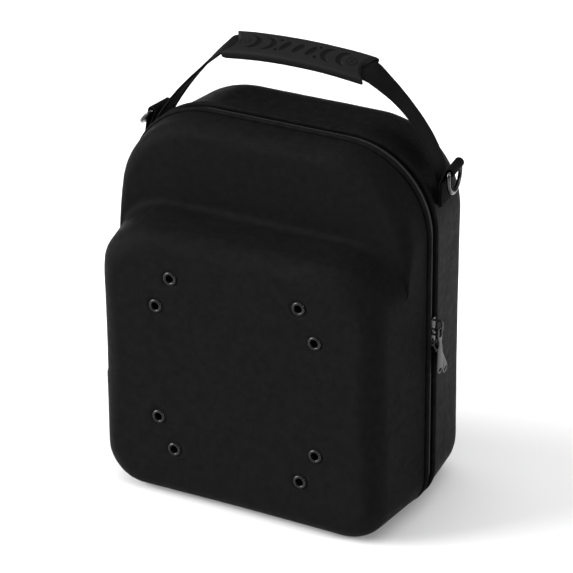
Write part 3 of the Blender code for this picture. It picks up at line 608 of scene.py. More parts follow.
def turnedPiece(name, profile, steps, centre, node):
    rings = []
    for angle in np.linspace(0, 2 * math.pi, steps, endpoint=False):
        rings.append([(centre[0] + r * math.cos(angle), centre[1] - h, centre[2] + r * math.sin(angle))
                      for r, h in profile])
    faces = gridFaces(steps, len(profile), closeRows=True, closeColumns=True)
    newMesh(name, np.concatenate(rings), faces, eyeletEnamel, "case", [node], smooth=50)


def buildEyelets():
    bore, flange = eyelets["boreRadius"], eyelets["flangeRadius"]
    lip, high = eyelets["lip"], eyelets["flangeHeight"]
    inside = flange - 0.5
    roll = [(bore, -4.4)]
    for turn in np.linspace(0, math.pi / 2, 7):
        roll.append((bore + lip - lip * math.cos(turn), 0.15 + high * math.sin(turn)))
    for share in np.linspace(0.15, 1, 7):
        roll.append((bore + lip + (flange - bore - lip) * share, 0.15 + high - 0.95 * share ** 2.2))
    roll += [(flange, -0.45), (bore + 0.7, -0.45), (bore + 0.7, -4.3), (inside, -4.4), (inside, -5.0),
             (bore + 0.4, -5.3)]
    for number, (x, z) in enumerate(eyeletCentres(), start=1):
        turnedPiece(f"eyelet{number}", roll, 48, (x, -front["depth"], z), f"eyelet_{number}")


buildEyelets()
print("eyelets made")


# piping and zipper, swept round the case

seam = {
    "pipingRadius": 2.2, "pipingDepth": 6.5, "pipingProud": 3.0, "pipingLift": 3.2, "flange": 3.0,
    "step": 1.6, "tapeSunk": 2.6, "tapeThick": 1.0, "tapeHalf": 4.0,
    "coilHalf": 2.75, "coilPitch": 1.55, "coilRadius": 0.52, "hingeTop": 235.0, "hingeBottom": 50.0,
    "stitchPitch": 3.1, "stitchLength": 2.3, "threadRadius": 0.26, "tapeRow": 3.55, "hingeRow": 3.3,
}


def seamPath(lift, step):
    # the zipper's run clockwise from the hinge's top to its bottom
    points, ways = rimOutline(lift, step)
    left = np.nonzero((points[:, 0] < -case["halfWidth"] + 0.01) & (points[:, 1] > seam["hingeBottom"])
                      & (points[:, 1] < seam["hingeTop"]))[0]
    order = np.roll(np.arange(len(points)), -(left[-1] + 1))[:len(points) - len(left)]
    return points[order], ways[order], points[left], ways[left]


def sweepAlong(points, ways, profile):
    # rings of a profile of (outward, depth) pairs carried along an outline
    rings = []
    for point, way in zip(points, ways):
        rings.append([(point[0] + way[0] * out, depth, point[1] + way[1] * out) for out, depth in profile])
    return rings


def runUv(points, profile):
    return [(depth, length) for length in runLengths(points) for _, depth in profile]


def buildPiping(name, side, node):
    points, ways = rimOutline(seam["pipingLift"], seam["step"])
    radius, depth = seam["pipingRadius"], seam["pipingDepth"]
    centre = seam["pipingProud"] - radius
    under, outer, inner = centre - 1.6, side * (depth + radius - 0.1), side * (depth - radius + 0.35)
    profile = [(-seam["flange"], outer), (under, outer)]
    for angle in np.linspace(math.radians(112), math.radians(-112), 17):
        profile.append((centre + radius * math.cos(angle), side * (depth + radius * 0.98 * math.sin(angle))))
    profile += [(under, inner), (-seam["flange"], inner)]
    rings = sweepAlong(points, ways, profile)
    faces = gridFaces(len(rings), len(profile), closeRows=True, closeColumns=True)
    newMesh(name, np.concatenate(rings), faces, pipingCloth, "case", [node], smooth=70)


def capsules(name, starts, ends, radius, material, sides=7):
    # many short round-ended strokes in one mesh: thread stitches or zipper coils
    shares = np.array((0.0, 0.06, 0.25, 0.75, 0.94, 1.0))
    widths = np.array((0.25, 0.75, 1.0, 1.0, 0.75, 0.25))
    allPoints, faces = [], []
    for start, end in zip(starts, ends):
        run = Vector(end) - Vector(start)
        across = run.orthogonal().normalized()
        other = run.cross(across).normalized()
        base = len(allPoints)
        for share, wide in zip(shares, widths):
            middle = Vector(start) + run * float(share)
            for step in range(sides):
                angle = 2 * math.pi * step / sides
                offset = across * math.cos(angle) + other * math.sin(angle)
                allPoints.append(middle + offset * radius * float(wide))
        faces += gridFaces(len(shares), sides, closeColumns=True, start=base)
        faces.append(tuple(base + step for step in range(sides)))
        faces.append(tuple(base + (len(shares) - 1) * sides + step for step in range(sides)))
    return newMesh(name, [tuple(p) for p in allPoints], faces, material, "case", smooth=80)


def stitchPlaces(points, normals, pitch, length, sink=0.12):
    # start and end points of stitches spaced along a path, bedded a little into the cloth
    points, normals = np.asarray(points, float), np.asarray(normals, float)
    lengths = runLengths(points)
    starts, ends = [], []
    for place in np.arange(pitch / 2, lengths[-1] - length, pitch):
        pair = []
        for spot in (place, place + length):
            at = np.array([np.interp(spot, lengths, points[:, axis]) for axis in range(3)])
            up = np.array([np.interp(spot, lengths, normals[:, axis]) for axis in range(3)])
            pair.append(at - up * sink)
        starts.append(pair[0])
        ends.append(pair[1])
    return starts, ends


def sewRows(name, rows, pitch, length, sink, radius):
    # one mesh of thread for rows that are given by their places and outward directions
    starts, ends = [], []
    for places, normals in rows:
        more, others = stitchPlaces(places, normals, pitch, length, sink)
        starts += more
        ends += others
    capsules(name, starts, ends, radius, threadMaterial)


def sewnSides(points, ways, out, up, depth):
    # a row of places in front of the seam's middle and one behind it, for sewRows
    normals = [(way[0], 0, way[1]) for way in ways]
    return [([(p[0] + w[0] * out, side * depth, p[1] + w[1] * up) for p, w in zip(points, ways)], normals)
            for side in (-1, 1)]


def buildZipper():
    points, ways, hingePoints, hingeWays = seamPath(seam["pipingLift"], seam["step"])
    low, high, half = -seam["tapeSunk"], -seam["tapeSunk"] + seam["tapeThick"], seam["tapeHalf"]
    profile = [(low, -half), (high, -half), (high, -half * 0.5), (high, 0), (high, half * 0.5), (high, half),
               (low, half), (low, 0)]
    rings = sweepAlong(points, ways, profile)
    ribbon, faces = sweepRings(rings)
    newMesh("zipperTape", ribbon, faces, tapeWeave, "case", ["zipper_tape"], uv=runUv(points, profile))
    # interlocked coils, left and right in turn
    lengths = runLengths(points)
    starts, ends = [], []
    for count, place in enumerate(np.arange(1.0, lengths[-1] - 1.0, seam["coilPitch"] / 2)):
        x, z = (np.interp(place, lengths, points[:, axis]) for axis in (0, 1))
        wayX, wayZ = (np.interp(place, lengths, ways[:, axis]) for axis in (0, 1))
        side = 1 if count % 2 else -1
        # each coil's level head over the middle, and its leg down to the tape
        for near, far, out, outTo in ((-0.5, 1.5, -0.25, -0.25), (1.5, seam["coilHalf"], -0.42, -0.95)):
            starts.append((x + wayX * out, side * near, z + wayZ * out))
            ends.append((x + wayX * outTo, side * far, z + wayZ * outTo))
    coil = capsules("zipperCoil", starts, ends, seam["coilRadius"], coilNylon, sides=6)
    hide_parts("zipper_chain")
    # tape stitching beside both pipings
    sewing = (seam["stitchPitch"], seam["stitchLength"])
    rows = sewnSides(points, ways, high, high, seam["tapeRow"])
    sewRows("tapeStitches", rows, *sewing, -0.05, seam["threadRadius"])
    # the cloth hinge, where the zipper stops
    profile = [(low, -half), (low + 1.5, -half), (low + 1.75, -half * 0.4), (low + 1.75, half * 0.4),
               (low + 1.5, half), (low, half)]
    strip, faces = sweepRings(sweepAlong(hingePoints, hingeWays, profile))
    newMesh("hingeStrip", strip, faces, shellCloth, "case", ["hinge_strip"])
    rows = sewnSides(hingePoints, hingeWays, low + 1.5, 0, seam["hingeRow"])
    sewRows("hingeStitches", rows, *sewing, -0.08, seam["threadRadius"])


buildPiping("frontPiping", -1, "front_welt")
buildPiping("backPiping", 1, "back_welt")
buildZipper()
print("piping and zipper made")


# sliders: a domed shield with side walls over the coil, and a bridge that holds the pull

slider = {
    "meetHeight": 170.0, "length": 13.0, "width": 7.6, "apart": 0.4, "plateLow": 0.9, "plateHigh": 2.6,
    "noseWidth": 4.8, "wallDrop": 1.7, "bevel": 0.35,
    "bridgeLength": 10.0, "bridgeWidth": 1.9, "bridgeBar": 1.4, "bridgeBend": 1.1,
    "upperBridge": 8.6, "lowerBridge": 4.6,
}


def cutCorners(points, times=2, share=0.25):
    # Chaikin's rounding of a closed outline
    points = np.asarray(points, float)
    for _ in range(times):
        after = np.roll(points, -1, axis=0)
        pairs = (points * (1 - share) + after * share, points * share + after * (1 - share))
        points = np.stack(pairs, axis=1).reshape(-1, 2)
    return points


def castPlate(name, outer, holes, thickness, bevel, place, material, body, replaces):
    # a flat casting with rounded edges and holes; place turns local (x, y, z) millimetres into the part's
    curve = bpy.data.curves.new(name, "CURVE")
    curve.dimensions, curve.fill_mode = "2D", "BOTH"
    curve.extrude = thickness / 2 - bevel
    curve.bevel_depth, curve.bevel_resolution, curve.offset = bevel, 3, -bevel
    for points in (outer, *holes):
        spline = curve.splines.new("POLY")
        spline.points.add(len(points) - 1)
        for spot, (x, y) in zip(spline.points, points):
            spot.co = (x, y, 0, 1)
        spline.use_cyclic_u = True
    holder = bpy.data.objects.new(name, curve)
    bpy.context.scene.collection.objects.link(holder)
    graph = bpy.context.evaluated_depsgraph_get()
    mesh = bpy.data.meshes.new_from_object(holder.evaluated_get(graph))
    bpy.data.objects.remove(holder)
    shape = bmesh.new()
    shape.from_mesh(mesh)
    bmesh.ops.remove_doubles(shape, verts=shape.verts, dist=0.004)
    points = [tuple(place(*vert.co)) for vert in shape.verts]
    shape.verts.index_update()
    faces = [tuple(vert.index for vert in face.verts) for face in shape.faces]
    shape.free()
    bpy.data.meshes.remove(mesh)
    newMesh(name, points, faces, material, body, replaces, smooth=40)


def buildSlider(name, node, height, bridgeHeight):
    half, length = slider["width"] / 2, slider["length"] / 2
    nose = slider["noseWidth"] / 2
    shield = cutCorners([(-nose, -length), (nose, -length), (half, -1.2), (half, length), (-half, length),
                         (-half, -1.2)], 3, 0.18)
    middle = case["halfWidth"] + (slider["plateLow"] + slider["plateHigh"]) / 2
    castPlate(name, shield, [], slider["plateHigh"] - slider["plateLow"], slider["bevel"],
              lambda x, y, z: (middle + z, x, height + y), blackMetal, "case", [node])
    # the side walls that run down beside the coil
    low = case["halfWidth"] + slider["plateLow"] - slider["wallDrop"] * 0.6
    high = case["halfWidth"] + slider["plateLow"] + 0.5
    for side in (-1, 1):
        corners = ((low, half - 0.75), (high, half - 0.75), (high, half - 0.1), (low, half - 0.2))
        rings = [[(out, side * across, height + along) for out, across in corners]
                 for along in np.linspace(-0.8, length - 0.5, 8)]
        points, faces = sweepRings(rings)
        newMesh(f"{name}Wall{(side + 3) // 2}", points, faces, blackMetal, "case")
    # the bridge: a rounded strip bent up, along and down
    base = case["halfWidth"] + slider["plateHigh"]
    reachOut = bridgeHeight - slider["bridgeBar"] / 2
    reachAlong = (slider["bridgeLength"] - slider["bridgeBar"]) / 2
    bend = slider["bridgeBend"]
    path = [(-reachAlong, -0.5), (-reachAlong, reachOut - bend)]
    path += [(-reachAlong + bend - bend * math.cos(a), reachOut - bend + bend * math.sin(a))
             for a in np.linspace(0, math.pi / 2, 7)[1:]]
    path += [(-along, out) for along, out in reversed(path)]
    path = np.array(path)
    runs = unitRows(np.gradient(path, axis=0))
    rings = []
    halfWide, halfBar = slider["bridgeWidth"] / 2, slider["bridgeBar"] / 2
    for (along, out), (runAlong, runOut) in zip(path, runs):
        ring = []
        for angle in np.linspace(0, 2 * math.pi, 16, endpoint=False):
            across = halfWide * math.copysign(abs(math.cos(angle)) ** 0.6, math.cos(angle))
            through = halfBar * math.copysign(abs(math.sin(angle)) ** 0.6, math.sin(angle))
            ring.append((base + out + runAlong * through, across, height + along - runOut * through))
        rings.append(ring)
    points, faces = sweepRings(rings)
    newMesh(name + "Bridge", points, faces, blackMetal, "case")


pull = {
    "bar": 1.6, "play": 0.6, "thickness": 1.6, "length": 42.0,
    "headWidth": 7.6, "eyeWidth": 5.0, "eyeLength": 7.2, "neckWidth": 4.8,
    "neckLength": 5.5, "width": 9.6, "slotWidth": 5.4, "slotHeight": 2.0, "slotRise": 2.3,
    "lowerTilt": 30.0, "lowerShift": 0.8, "bevel": 0.45,
}


def pullOutline():
    head, neck, half = pull["headWidth"] / 2, pull["neckWidth"] / 2, pull["width"] / 2
    top = pull["bar"] / 2
    headLow = top - pull["bar"] * 2 - pull["eyeLength"]
    neckLow = headLow - pull["neckLength"]
    right = [(head - 1.0, top), (head, top - 1.0), (head, headLow + 1), (neck, headLow - pull["bar"]),
             (neck, neckLow + 0.5), (half * 0.86, neckLow - 3.0), (half, half - pull["length"])]
    for turn in np.linspace(0.25, 1.45, 8):
        right.append((half * math.cos(turn), half - pull["length"] - half * math.sin(turn)))
    return cutCorners(right + [(-x, z) for x, z in reversed(right)], 2)


def buildPull(name, node, body, height, bridgeHeight, tilt, shift):
    top = -pull["bar"] / 2
    halfEye, halfSlot = pull["eyeWidth"] / 2, pull["slotWidth"] / 2
    eyeLow, slotLow = top - pull["eyeLength"], pull["slotRise"] - pull["length"]
    slotTop = slotLow + pull["slotHeight"]
    eye = cutCorners([(-halfEye, eyeLow), (halfEye, eyeLow), (halfEye, top), (-halfEye, top)], 2, 0.12)
    slot = cutCorners([(-halfSlot, slotLow), (halfSlot, slotLow), (halfSlot, slotTop), (-halfSlot, slotTop)],
                      3, 0.2)
    inside = slider["bridgeBar"] + pull["bar"] / 2 + pull["play"]
    out = case["halfWidth"] + slider["plateHigh"] + bridgeHeight - inside
    drop = slider["bridgeLength"] / 2 - inside
    lean = Matrix.Rotation(math.radians(tilt), 3, "X")
    hinge = Vector((out, -shift, height - drop))
    castPlate(name, pullOutline(), [eye, slot], pull["thickness"], pull["bevel"],
              lambda x, y, z: hinge + lean @ Vector((z, x, y)), pullMetal, body, [node])


upperHeight = slider["meetHeight"] + (slider["length"] + slider["apart"]) / 2
lowerHeight = slider["meetHeight"] - (slider["length"] + slider["apart"]) / 2
buildSlider("upperSlider", "slider_upper", upperHeight, slider["upperBridge"])
buildSlider("lowerSlider", "slider_lower", lowerHeight, slider["lowerBridge"])
buildPull("upperPull", "pull_upper", "upper_pull", upperHeight, slider["upperBridge"], 0, 0)
buildPull("lowerPull", "pull_lower", "lower_pull", lowerHeight, slider["lowerBridge"], pull["lowerTilt"],
          pull["lowerShift"])
print("sliders and pulls made")


# the carry handle: one length of webbing, sewn on at both sides and held by a moulded grip

handle = {
    "webWidth": 25.0, "webThick": 2.0, "depth": 26.0, "lean": 7.0,
    "endDrop": 51.0, "rise": 46.0, "crown": 4.0,
    "rightRoute": ((0, 0), (0.01, 0.177), (0.07, 0.34), (0.173, 0.489), (0.308, 0.622), (0.468, 0.74),
                   (0.641, 0.842), (0.822, 0.929)),
    "leftRoute": ((0, 0), (0.026, 0.115), (0.115, 0.255), (0.248, 0.408), (0.408, 0.565), (0.582, 0.712),
                  (0.748, 0.841), (0.894, 0.941)),
    "rightDip": -0.34,  # how far the webbing's back edge dips between its ends
    "gripLength": 132.0, "gripWidth": 31.0, "gripThick": 11.0, "notch": 9.0, "tilt": 17.0, "gap": 0.3,
}


gripTilt = math.radians(handle["tilt"])
gripWide = np.array((0, math.cos(gripTilt), math.sin(gripTilt)))
gripUp = np.array((0, -math.sin(gripTilt), math.cos(gripTilt)))


def gripArch(count):
    # the grip's middle line, from its right end to its left
    half = handle["gripLength"] / 2
    xs = np.linspace(half, -half, count)
    heights = case["height"] + handle["rise"] + handle["crown"] * (1 - (xs / half) ** 2)
    return np.stack((xs, np.full_like(xs, handle["depth"] + handle["lean"]), heights), axis=1)


def wallReach(depth, height):
    # how far out the back shell's side wall is
    run = max(depth - case["rimDepth"] - case["land"], 0)
    half = case["halfWidth"] - run * math.tan(math.radians(back["draft"]))
    rise = height - (case["height"] - run * math.tan(math.radians(back["topDraft"])) - case["topRadius"])
    if rise <= 0:
        return half
    return half - case["topRadius"] + math.sqrt(case["topRadius"] ** 2 - rise ** 2)


def sideStations(route, dip):
    # the webbing from a side's seam up to the grip, as it lies on the right
    endHeight, gripHeight = case["height"] - handle["endDrop"], case["height"] + handle["rise"]
    endOut = wallReach(handle["depth"], endHeight) + handle["gap"] + handle["webThick"] / 2
    draft = math.radians(back["draft"])
    sewn = np.array((-math.sin(draft), math.cos(draft), 0))
    points, wides = [], []
    for inwards, up in route:
        share = up ** 2
        points.append((endOut + (handle["gripLength"] / 2 - endOut) * inwards,
                       handle["depth"] + handle["lean"] * share, endHeight + (gripHeight - endHeight) * up))
        wides.append(sewn * (1 - share) + gripWide * share + np.array((0, 0, 4 * dip * share * (1 - share))))
    return np.array(points, float), np.array(wides, float)


def handleStations():
    right, rightWide = sideStations(handle["rightRoute"], handle["rightDip"])
    left, leftWide = sideStations(handle["leftRoute"], 0)
    middle = gripArch(11)
    middleWide = np.repeat([gripWide], len(middle), axis=0)
    flip = np.array((-1, 1, 1))
    return (np.concatenate((right, middle, left[::-1] * flip)),
            np.concatenate((rightWide, middleWide, leftWide[::-1] * flip)))


def smoothRun(points, wides, step):
    # a Catmull-Rom curve through the stations, with the width directions carried along
    padded = np.concatenate((2 * points[:1] - points[1:2], points, 2 * points[-1:] - points[-2:-1]))
    run, wide = [], []
    for index in range(len(points) - 1):
        p0, p1, p2, p3 = padded[index:index + 4]
        count = max(int(np.linalg.norm(p2 - p1) / step), 1)
        for t in np.arange(count) / count:
            run.append(0.5 * (2 * p1 + (p2 - p0) * t + (2 * p0 - 5 * p1 + 4 * p2 - p3) * t * t
                              + (3 * p1 - p0 - 3 * p2 + p3) * t ** 3))
            wide.append(wides[index] * (1 - t) + wides[index + 1] * t)
    run.append(points[-1])
    wide.append(wides[-1])
    return np.array(run), unitRows(np.array(wide))


def webProfile(width, thick):
    # (across, through) pairs: flat faces, and woven edges a little thicker than the middle
    half, thin = width / 2, thick / 2
    upper = [(-half, 0.0), (-half + 0.12, thin * 0.62), (-half + 0.6, thin), (-half + 1.6, thin),
             (-half + 2.2, thin * 0.9), (0.0, thin * 0.9), (half - 2.2, thin * 0.9), (half - 1.6, thin),
             (half - 0.6, thin), (half - 0.12, thin * 0.62)]
    return upper + [(-a, -t) for a, t in upper]


def buildWebbing(name, run, wide, thick, node):
    faceWay = unitRows(np.cross(wide, unitRows(np.gradient(run, axis=0))))
    profile = webProfile(handle["webWidth"], thick)
    rings = [[p + w * across + f * through for across, through in profile]
             for p, w, f in zip(run, wide, faceWay)]
    uv = [(across, length) for length in runLengths(run) for across, _ in profile]
    points, faces = sweepRings(rings)
    newMesh(name, points, faces, webbingWeave, "case", [node], smooth=50, uv=uv)


handlePoints, handleWides = handleStations()
handleRun, handleWide = smoothRun(handlePoints, handleWides, 1.6)
buildWebbing("handleWebbing", handleRun, handleWide, handle["webThick"], "handle_strap")
print("handle webbing made")


# the grip: swallow-tail ends, a slot for the webbing, and a row of recessed shapes along the top

grip = {
    "stations": 264, "topPoints": 52, "recess": 0.9, "soft": 0.45,
    "power": 3.6, "crest": 0.93,  # the section's squareness, and its top's share of the width
    "tail": 22.0,  # how far in from each end the notch reaches
    "discs": (49.5,), "discRing": 4.2, "discLine": 0.8, "discCore": 1.6,
    "faint": 0.45,  # the ringed discs are shallower than the rest
    "crescents": (37.0, 23.0), "crescentOut": (8.4, 6.4), "crescentIn": (7.8, 10.2),  # radius and shift
    "ellipses": (-12.0, 0.0, 12.0), "ellipseHalf": (2.6, 6.8), "ellipseTurn": 24.0,
    "dotAlong": 18.0, "dotAcross": 6.6, "dotRadius": 1.5,
}


def reliefAt(along, across):
    # 1 inside a recessed shape and 0 outside it, with soft edges
    soft, marks = grip["soft"], []
    mirrored = np.abs(along)
    for centre in grip["discs"]:
        away = np.hypot(mirrored - centre, across)
        line = grip["discLine"] - np.abs(away - grip["discRing"])
        marks.append(smoothStep(-soft, soft, line) * grip["faint"])
        marks.append(smoothStep(-soft, soft, grip["discCore"] - away) * grip["faint"])
    (outRadius, outShift), (inRadius, inShift) = grip["crescentOut"], grip["crescentIn"]
    for centre in grip["crescents"]:
        outer = outRadius - np.hypot(mirrored - centre - outShift, across)
        inner = np.hypot(mirrored - centre - inShift, across) - inRadius
        marks.append(smoothStep(-soft, soft, np.minimum(outer, inner)))
    turn = math.radians(grip["ellipseTurn"])
    halfU, halfV = grip["ellipseHalf"]
    for centre in grip["ellipses"]:
        u = (along - centre) * math.cos(turn) - across * math.sin(turn)
        v = (along - centre) * math.sin(turn) + across * math.cos(turn)
        marks.append(smoothStep(-soft, soft, (1 - np.hypot(u / halfU, v / halfV)) * halfU))
    for up in (-1, 1):
        away = np.hypot(mirrored - grip["dotAlong"], across - up * grip["dotAcross"])
        marks.append(smoothStep(-soft, soft, grip["dotRadius"] - away))
    return np.max(marks, axis=0)


def squareRound(share):
    # the height of a rounded square's edge at a share of its half width
    return (1 - abs(share) ** grip["power"]) ** (1 / grip["power"])


def gripSection():
    # (across, through) pairs round the grip, close together on top where the relief is
    half, thin = handle["gripWidth"] / 2, handle["gripThick"] / 2
    crest = half * grip["crest"]
    top = [(a, thin * squareRound(a / half)) for a in np.linspace(crest, -crest, grip["topPoints"])]
    side = [(-half * squareRound(t / thin), t) for t in np.linspace(thin * 0.6, -thin * 0.6, 7)]
    low = [(a, -thin * squareRound(a / half)) for a in np.linspace(-crest, crest, 22)]
    return top + side + low + [(-a, -t) for a, t in side]


def tailShift(x, across):
    # how far along X the swallow-tail end pulls the middle of a ring back
    half, halfLong = handle["gripWidth"] / 2, handle["gripLength"] / 2
    inward = -math.copysign(1, x) * float(1 - smoothStep(0, grip["tail"], halfLong - abs(x)))
    return handle["notch"] * (1 - np.minimum(np.abs(across) / half, 1) ** 2) * inward


def buildGrip():
    half, halfLong = handle["gripWidth"] / 2, handle["gripLength"] / 2
    centre = gripArch(grip["stations"])
    ahead = unitRows(np.gradient(centre, axis=0))
    outWay = np.cross(np.broadcast_to(gripWide, ahead.shape), ahead)
    section = np.array(gripSection())
    web = np.array(webProfile(handle["webWidth"] + 1.2, handle["webThick"] + 1.2))
    count, slotCount = len(section), len(web)
    rings, slots, recessed = [], [], []
    for point, out in zip(centre, outWay):
        fromEnd = halfLong - abs(point[0])
        tuck = 1 - 0.16 * float(1 - smoothStep(0, 2.2, fromEnd)) ** 2  # rounded lips at both ends
        waist = 1 - 0.035 * float(smoothStep(8, 45, fromEnd))
        across, through = section[:, 0], section[:, 1] * tuck
        shift = tailShift(point[0], across)
        mark = reliefAt(np.full_like(across, point[0]) + shift, across)
        mark = mark * (through > 0) * (np.abs(across) < half * 0.86)
        through = through - mark * grip["recess"]
        ring = point + gripWide * (across * waist)[:, None] + out * through[:, None]
        ring[:, 0] += shift
        rings.append(ring)
        recessed.append(mark)
        slot = point + gripWide * web[:, :1] + out * web[:, 1:]
        slot[:, 0] += tailShift(point[0], web[:, 0])
        slots.append(slot)
    points = np.concatenate(rings + slots)
    faces = gridFaces(len(rings), count, closeColumns=True)
    start = len(rings) * count
    faces += gridFaces(len(slots), slotCount, closeColumns=True, start=start)
    for row in (0, len(rings) - 1):  # the end faces, between the outside and the slot
        faces += joinLoops(points, [row * count + i for i in range(count)],
                           [start + row * slotCount + i for i in range(slotCount)])
    piece = newMesh("handGrip", points, faces, gripRubber, "case", ["grip"], smooth=55)
    # the recess attribute carries the painted shade: the material darkens the rubber inside the recessed
    # shapes
    mark = piece.data.attributes.new("recess", "FLOAT", "POINT")
    mark.data.foreach_set("value", np.concatenate(recessed + [np.zeros(slotCount * len(slots))]))


def joinLoops(points, outer, inner):
    # triangles between two closed loops, taken in order of angle round the inner one's middle
    middle = points[inner].mean(axis=0)

    def angles(loop):
        away = points[loop] - middle
        return np.arctan2(away @ gripUp * 2.2, away @ gripWide)

    outerTurn, innerTurn = angles(outer), angles(inner)
    outer = [outer[i] for i in np.argsort(outerTurn)]
    inner = [inner[i] for i in np.argsort(innerTurn)]
    outerTurn, innerTurn = np.sort(outerTurn), np.sort(innerTurn)
    faces, a, b = [], 0, 0
    while a < len(outer) or b < len(inner):
        nextOuter = outerTurn[a % len(outer)] + 2 * math.pi * (a // len(outer))
        nextInner = innerTurn[b % len(inner)] + 2 * math.pi * (b // len(inner))
        if b >= len(inner) or (a < len(outer) and nextOuter <= nextInner):
            faces.append((outer[a % len(outer)], outer[(a + 1) % len(outer)], inner[b % len(inner)]))
            a += 1
        else:
            faces.append((inner[b % len(inner)], outer[a % len(outer)], inner[(b + 1) % len(inner)]))
            b += 1
    return faces


buildGrip()
print("grip made")


# folded webbing loops and D rings at the sides

ringLoop = {
    "endDrop": 1.5, "foldRise": 32.0, "layer": 1.6, "foldRadius": 3.45, "wire": 1.75,
    "innerWidth": 26.2, "drop": 21.5, "arm": 7.0, "corner": 4.2,
    "right": {"side": 1, "foldOut": 9.5, "neck": 11.0, "lean": 0.0},
    "left": {"side": -1, "foldOut": -5.2, "neck": 22.0, "lean": 44.0},  # leans in over the handle's webbing
}
loopHeight = case["height"] - handle["endDrop"] - ringLoop["endDrop"]
seatOut = wallReach(handle["depth"], loopHeight) + 2 * handle["gap"] + handle["webThick"]


def besideCase(loop, out, along, up):
    # a place given from the ring's bar: outwards, towards the back, and up
    side = loop["side"]
    yaw = side * math.radians(back["draft"])
    x = side * out * math.cos(yaw) - along * math.sin(yaw)
    y = side * out * math.sin(yaw) + along * math.cos(yaw)
    return np.array((side * (seatOut + loop["foldOut"]) + x, handle["depth"] + y,
                     loopHeight + ringLoop["foldRise"] + up))


def buildRingLoop(name, node, loop):
    layer, radius, rise = ringLoop["layer"], ringLoop["foldRadius"], ringLoop["foldRise"]
    inner, outer = -loop["foldOut"] + layer / 2 + 0.05, -loop["foldOut"] + layer * 1.5 + 0.12
    neck = -loop["neck"]
    start = math.atan2(neck, inner) - math.acos(radius / math.hypot(neck, inner))
    end = math.atan2(neck, outer) + math.acos(radius / math.hypot(neck, outer))
    touch = np.array((radius * math.cos(start), radius * math.sin(start)))
    leave = np.array((radius * math.cos(end), radius * math.sin(end)))
    turns = np.linspace(start, end - 2 * math.pi, 9)
    low, high = np.array((inner, neck)), np.array((outer, neck))
    path = [(inner, -rise), (inner, neck - 5), tuple(low + (0, -1.5)), tuple(low + (touch - low) * 0.35),
            tuple(low + (touch - low) * 0.72)]
    path += [(radius * math.cos(a), radius * math.sin(a)) for a in turns]
    path += [tuple(leave + (high - leave) * 0.3), tuple(leave + (high - leave) * 0.65),
             tuple(high + (0, -1.5)), (outer, neck - 5), (outer, -rise + 0.6)]
    points = np.array([besideCase(loop, out, 0, up) for out, up in path])
    wide = besideCase(loop, 0, 1, 0) - besideCase(loop, 0, 0, 0)
    wides = np.repeat((wide * loop["side"])[None], len(points), axis=0)
    run, wideRun = smoothRun(points, wides, 0.8)
    buildWebbing(name, run, wideRun, layer, node)
    # box stitching through both layers and the handle's end
    face, halfBox, bottom = outer + layer / 2, 9.8, -rise + 2.6
    top = max(-14.0, neck + 1) if neck > -16 else neck - 0.5
    corners = [(-halfBox, bottom), (halfBox, bottom), (halfBox, top), (-halfBox, top), (-halfBox, bottom)]
    outWay = besideCase(loop, 1, 0, 0) - besideCase(loop, 0, 0, 0)
    lines = list(zip(corners, corners[1:])) + [(corners[0], corners[2]), (corners[1], corners[3])]
    rows = [([besideCase(loop, face, *spot) for spot in line], [outWay, outWay]) for line in lines]
    sewRows(name + "Stitches", rows, 2.9, 2.1, 0.05, 0.3)


def buildDRing(name, node, body, loop):
    half, corner = ringLoop["innerWidth"] / 2 + ringLoop["wire"], ringLoop["corner"]
    arcDrop = ringLoop["drop"] - ringLoop["arm"]
    path = [(a, 0.0) for a in np.linspace(-half + corner, half - corner, 12)]
    path += [(half - corner + corner * math.sin(a), corner * math.cos(a) - corner)
             for a in np.linspace(0, math.pi / 2, 9)[1:]]
    path += [(half * math.cos(a), -ringLoop["arm"] - arcDrop * math.sin(a))
             for a in np.linspace(0, math.pi, 41)]
    path += [(-half + corner - corner * math.sin(a), corner * math.cos(a) - corner)
             for a in np.linspace(math.pi / 2, 0, 9)[:-1]]
    path = np.array(path)
    ahead = unitRows(np.roll(path, -1, axis=0) - np.roll(path, 1, axis=0))
    lean, rings = math.radians(loop["lean"]), []
    for (along, up), (runAlong, runUp) in zip(path, ahead):
        ring = []
        for angle in np.linspace(0, 2 * math.pi, 16, endpoint=False):
            out, through = ringLoop["wire"] * math.cos(angle), ringLoop["wire"] * math.sin(angle)
            level = up + runAlong * through
            ring.append(besideCase(loop, out * math.cos(lean) - level * math.sin(lean),
                                   along - runUp * through, out * math.sin(lean) + level * math.cos(lean)))
        rings.append(ring)
    points, faces = sweepRings(rings, closed=True)
    newMesh(name, points, faces, ringMetal, body, [node], smooth=60)


for sideName in ("left", "right"):
    buildRingLoop(sideName + "RingLoop", "ring_loop_" + sideName, ringLoop[sideName])
    buildDRing(sideName + "DRing", "d_ring_" + sideName, sideName + "_ring", ringLoop[sideName])
print("ring loops and D rings made")


# floor, light and camera

view = {
    "position": (1.1137, -2.0435, 1.3339), "target": (0.0062, -0.005, 0.1831), "roll": -0.544,
    "focalPixels": 3070.2, "framePixels": 573, "sensor": 36.0,
}


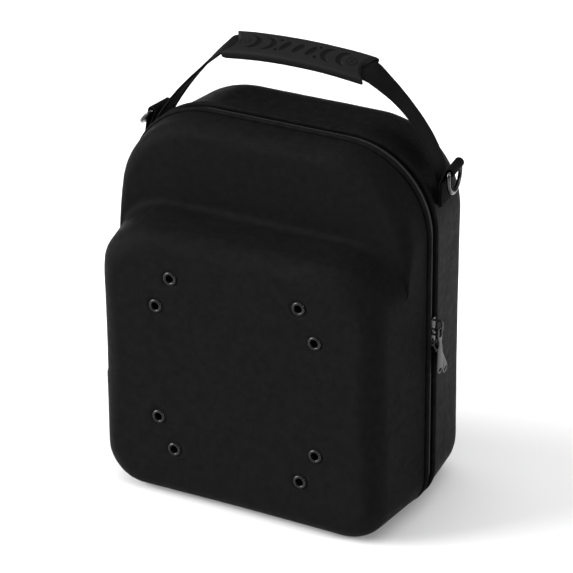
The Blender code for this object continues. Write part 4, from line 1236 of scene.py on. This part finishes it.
def plainMaterial(name, colour, roughness):
    material, tree, shader, place = startMaterial(name, roughness, specular=0.2)
    cloud = noiseNode(tree, place, 3.0, 3.0)
    darker = tuple(c * 0.985 for c in colour)
    tree.links.new(mixColours(tree, cloud, colour, darker), shader.inputs["Base Color"])
    return material


def addFloor():
    mesh = bpy.data.meshes.new("floor")
    mesh.from_pydata([(-6, -6, 0), (6, -6, 0), (6, 6, 0), (-6, 6, 0)], [], [(0, 1, 2, 3)])
    mesh.materials.append(plainMaterial("paleFloor", (0.93, 0.93, 0.93), 0.9))
    floor = bpy.data.objects.new("floor", mesh)
    bpy.context.scene.collection.objects.link(floor)
    floor.location.z = -0.0004


def addSoftLight(name, place, strength, spread):
    light = bpy.data.lights.new(name, "SUN")
    light.energy, light.angle = strength, math.radians(spread)
    lamp = bpy.data.objects.new(name, light)
    lamp.location = place
    lamp.rotation_euler = (-Vector(place)).to_track_quat("-Z", "Y").to_euler()
    bpy.context.scene.collection.objects.link(lamp)


def addCamera():
    camera = bpy.data.cameras.new("camera")
    camera.sensor_width = view["sensor"]
    camera.lens = view["focalPixels"] * view["sensor"] / view["framePixels"]
    holder = bpy.data.objects.new("camera", camera)
    away = Vector(view["target"]) - Vector(view["position"])
    turn = away.to_track_quat("-Z", "Y").to_matrix() @ Matrix.Rotation(math.radians(view["roll"]), 3, "Z")
    holder.matrix_world = Matrix.Translation(view["position"]) @ turn.to_4x4()
    bpy.context.scene.collection.objects.link(holder)
    bpy.context.scene.camera = holder


def addWorld():
    world = bpy.data.worlds.new("studio")
    world.use_nodes = True
    world.node_tree.nodes["Background"].inputs["Color"].default_value = (1, 1, 1, 1)
    world.node_tree.nodes["Background"].inputs["Strength"].default_value = 0.2
    bpy.context.scene.world = world


addFloor()
addSoftLight("leftLight", (-1.9, -1.1, 0.8), 6.0, 40)
addSoftLight("rightLight", (2.0, 0.0, 1.0), 1.5, 24)
addSoftLight("topLight", (-0.1, 0.2, 2.0), 1.9, 90)
addWorld()
addCamera()
bpy.context.scene.view_settings.view_transform = "Standard"
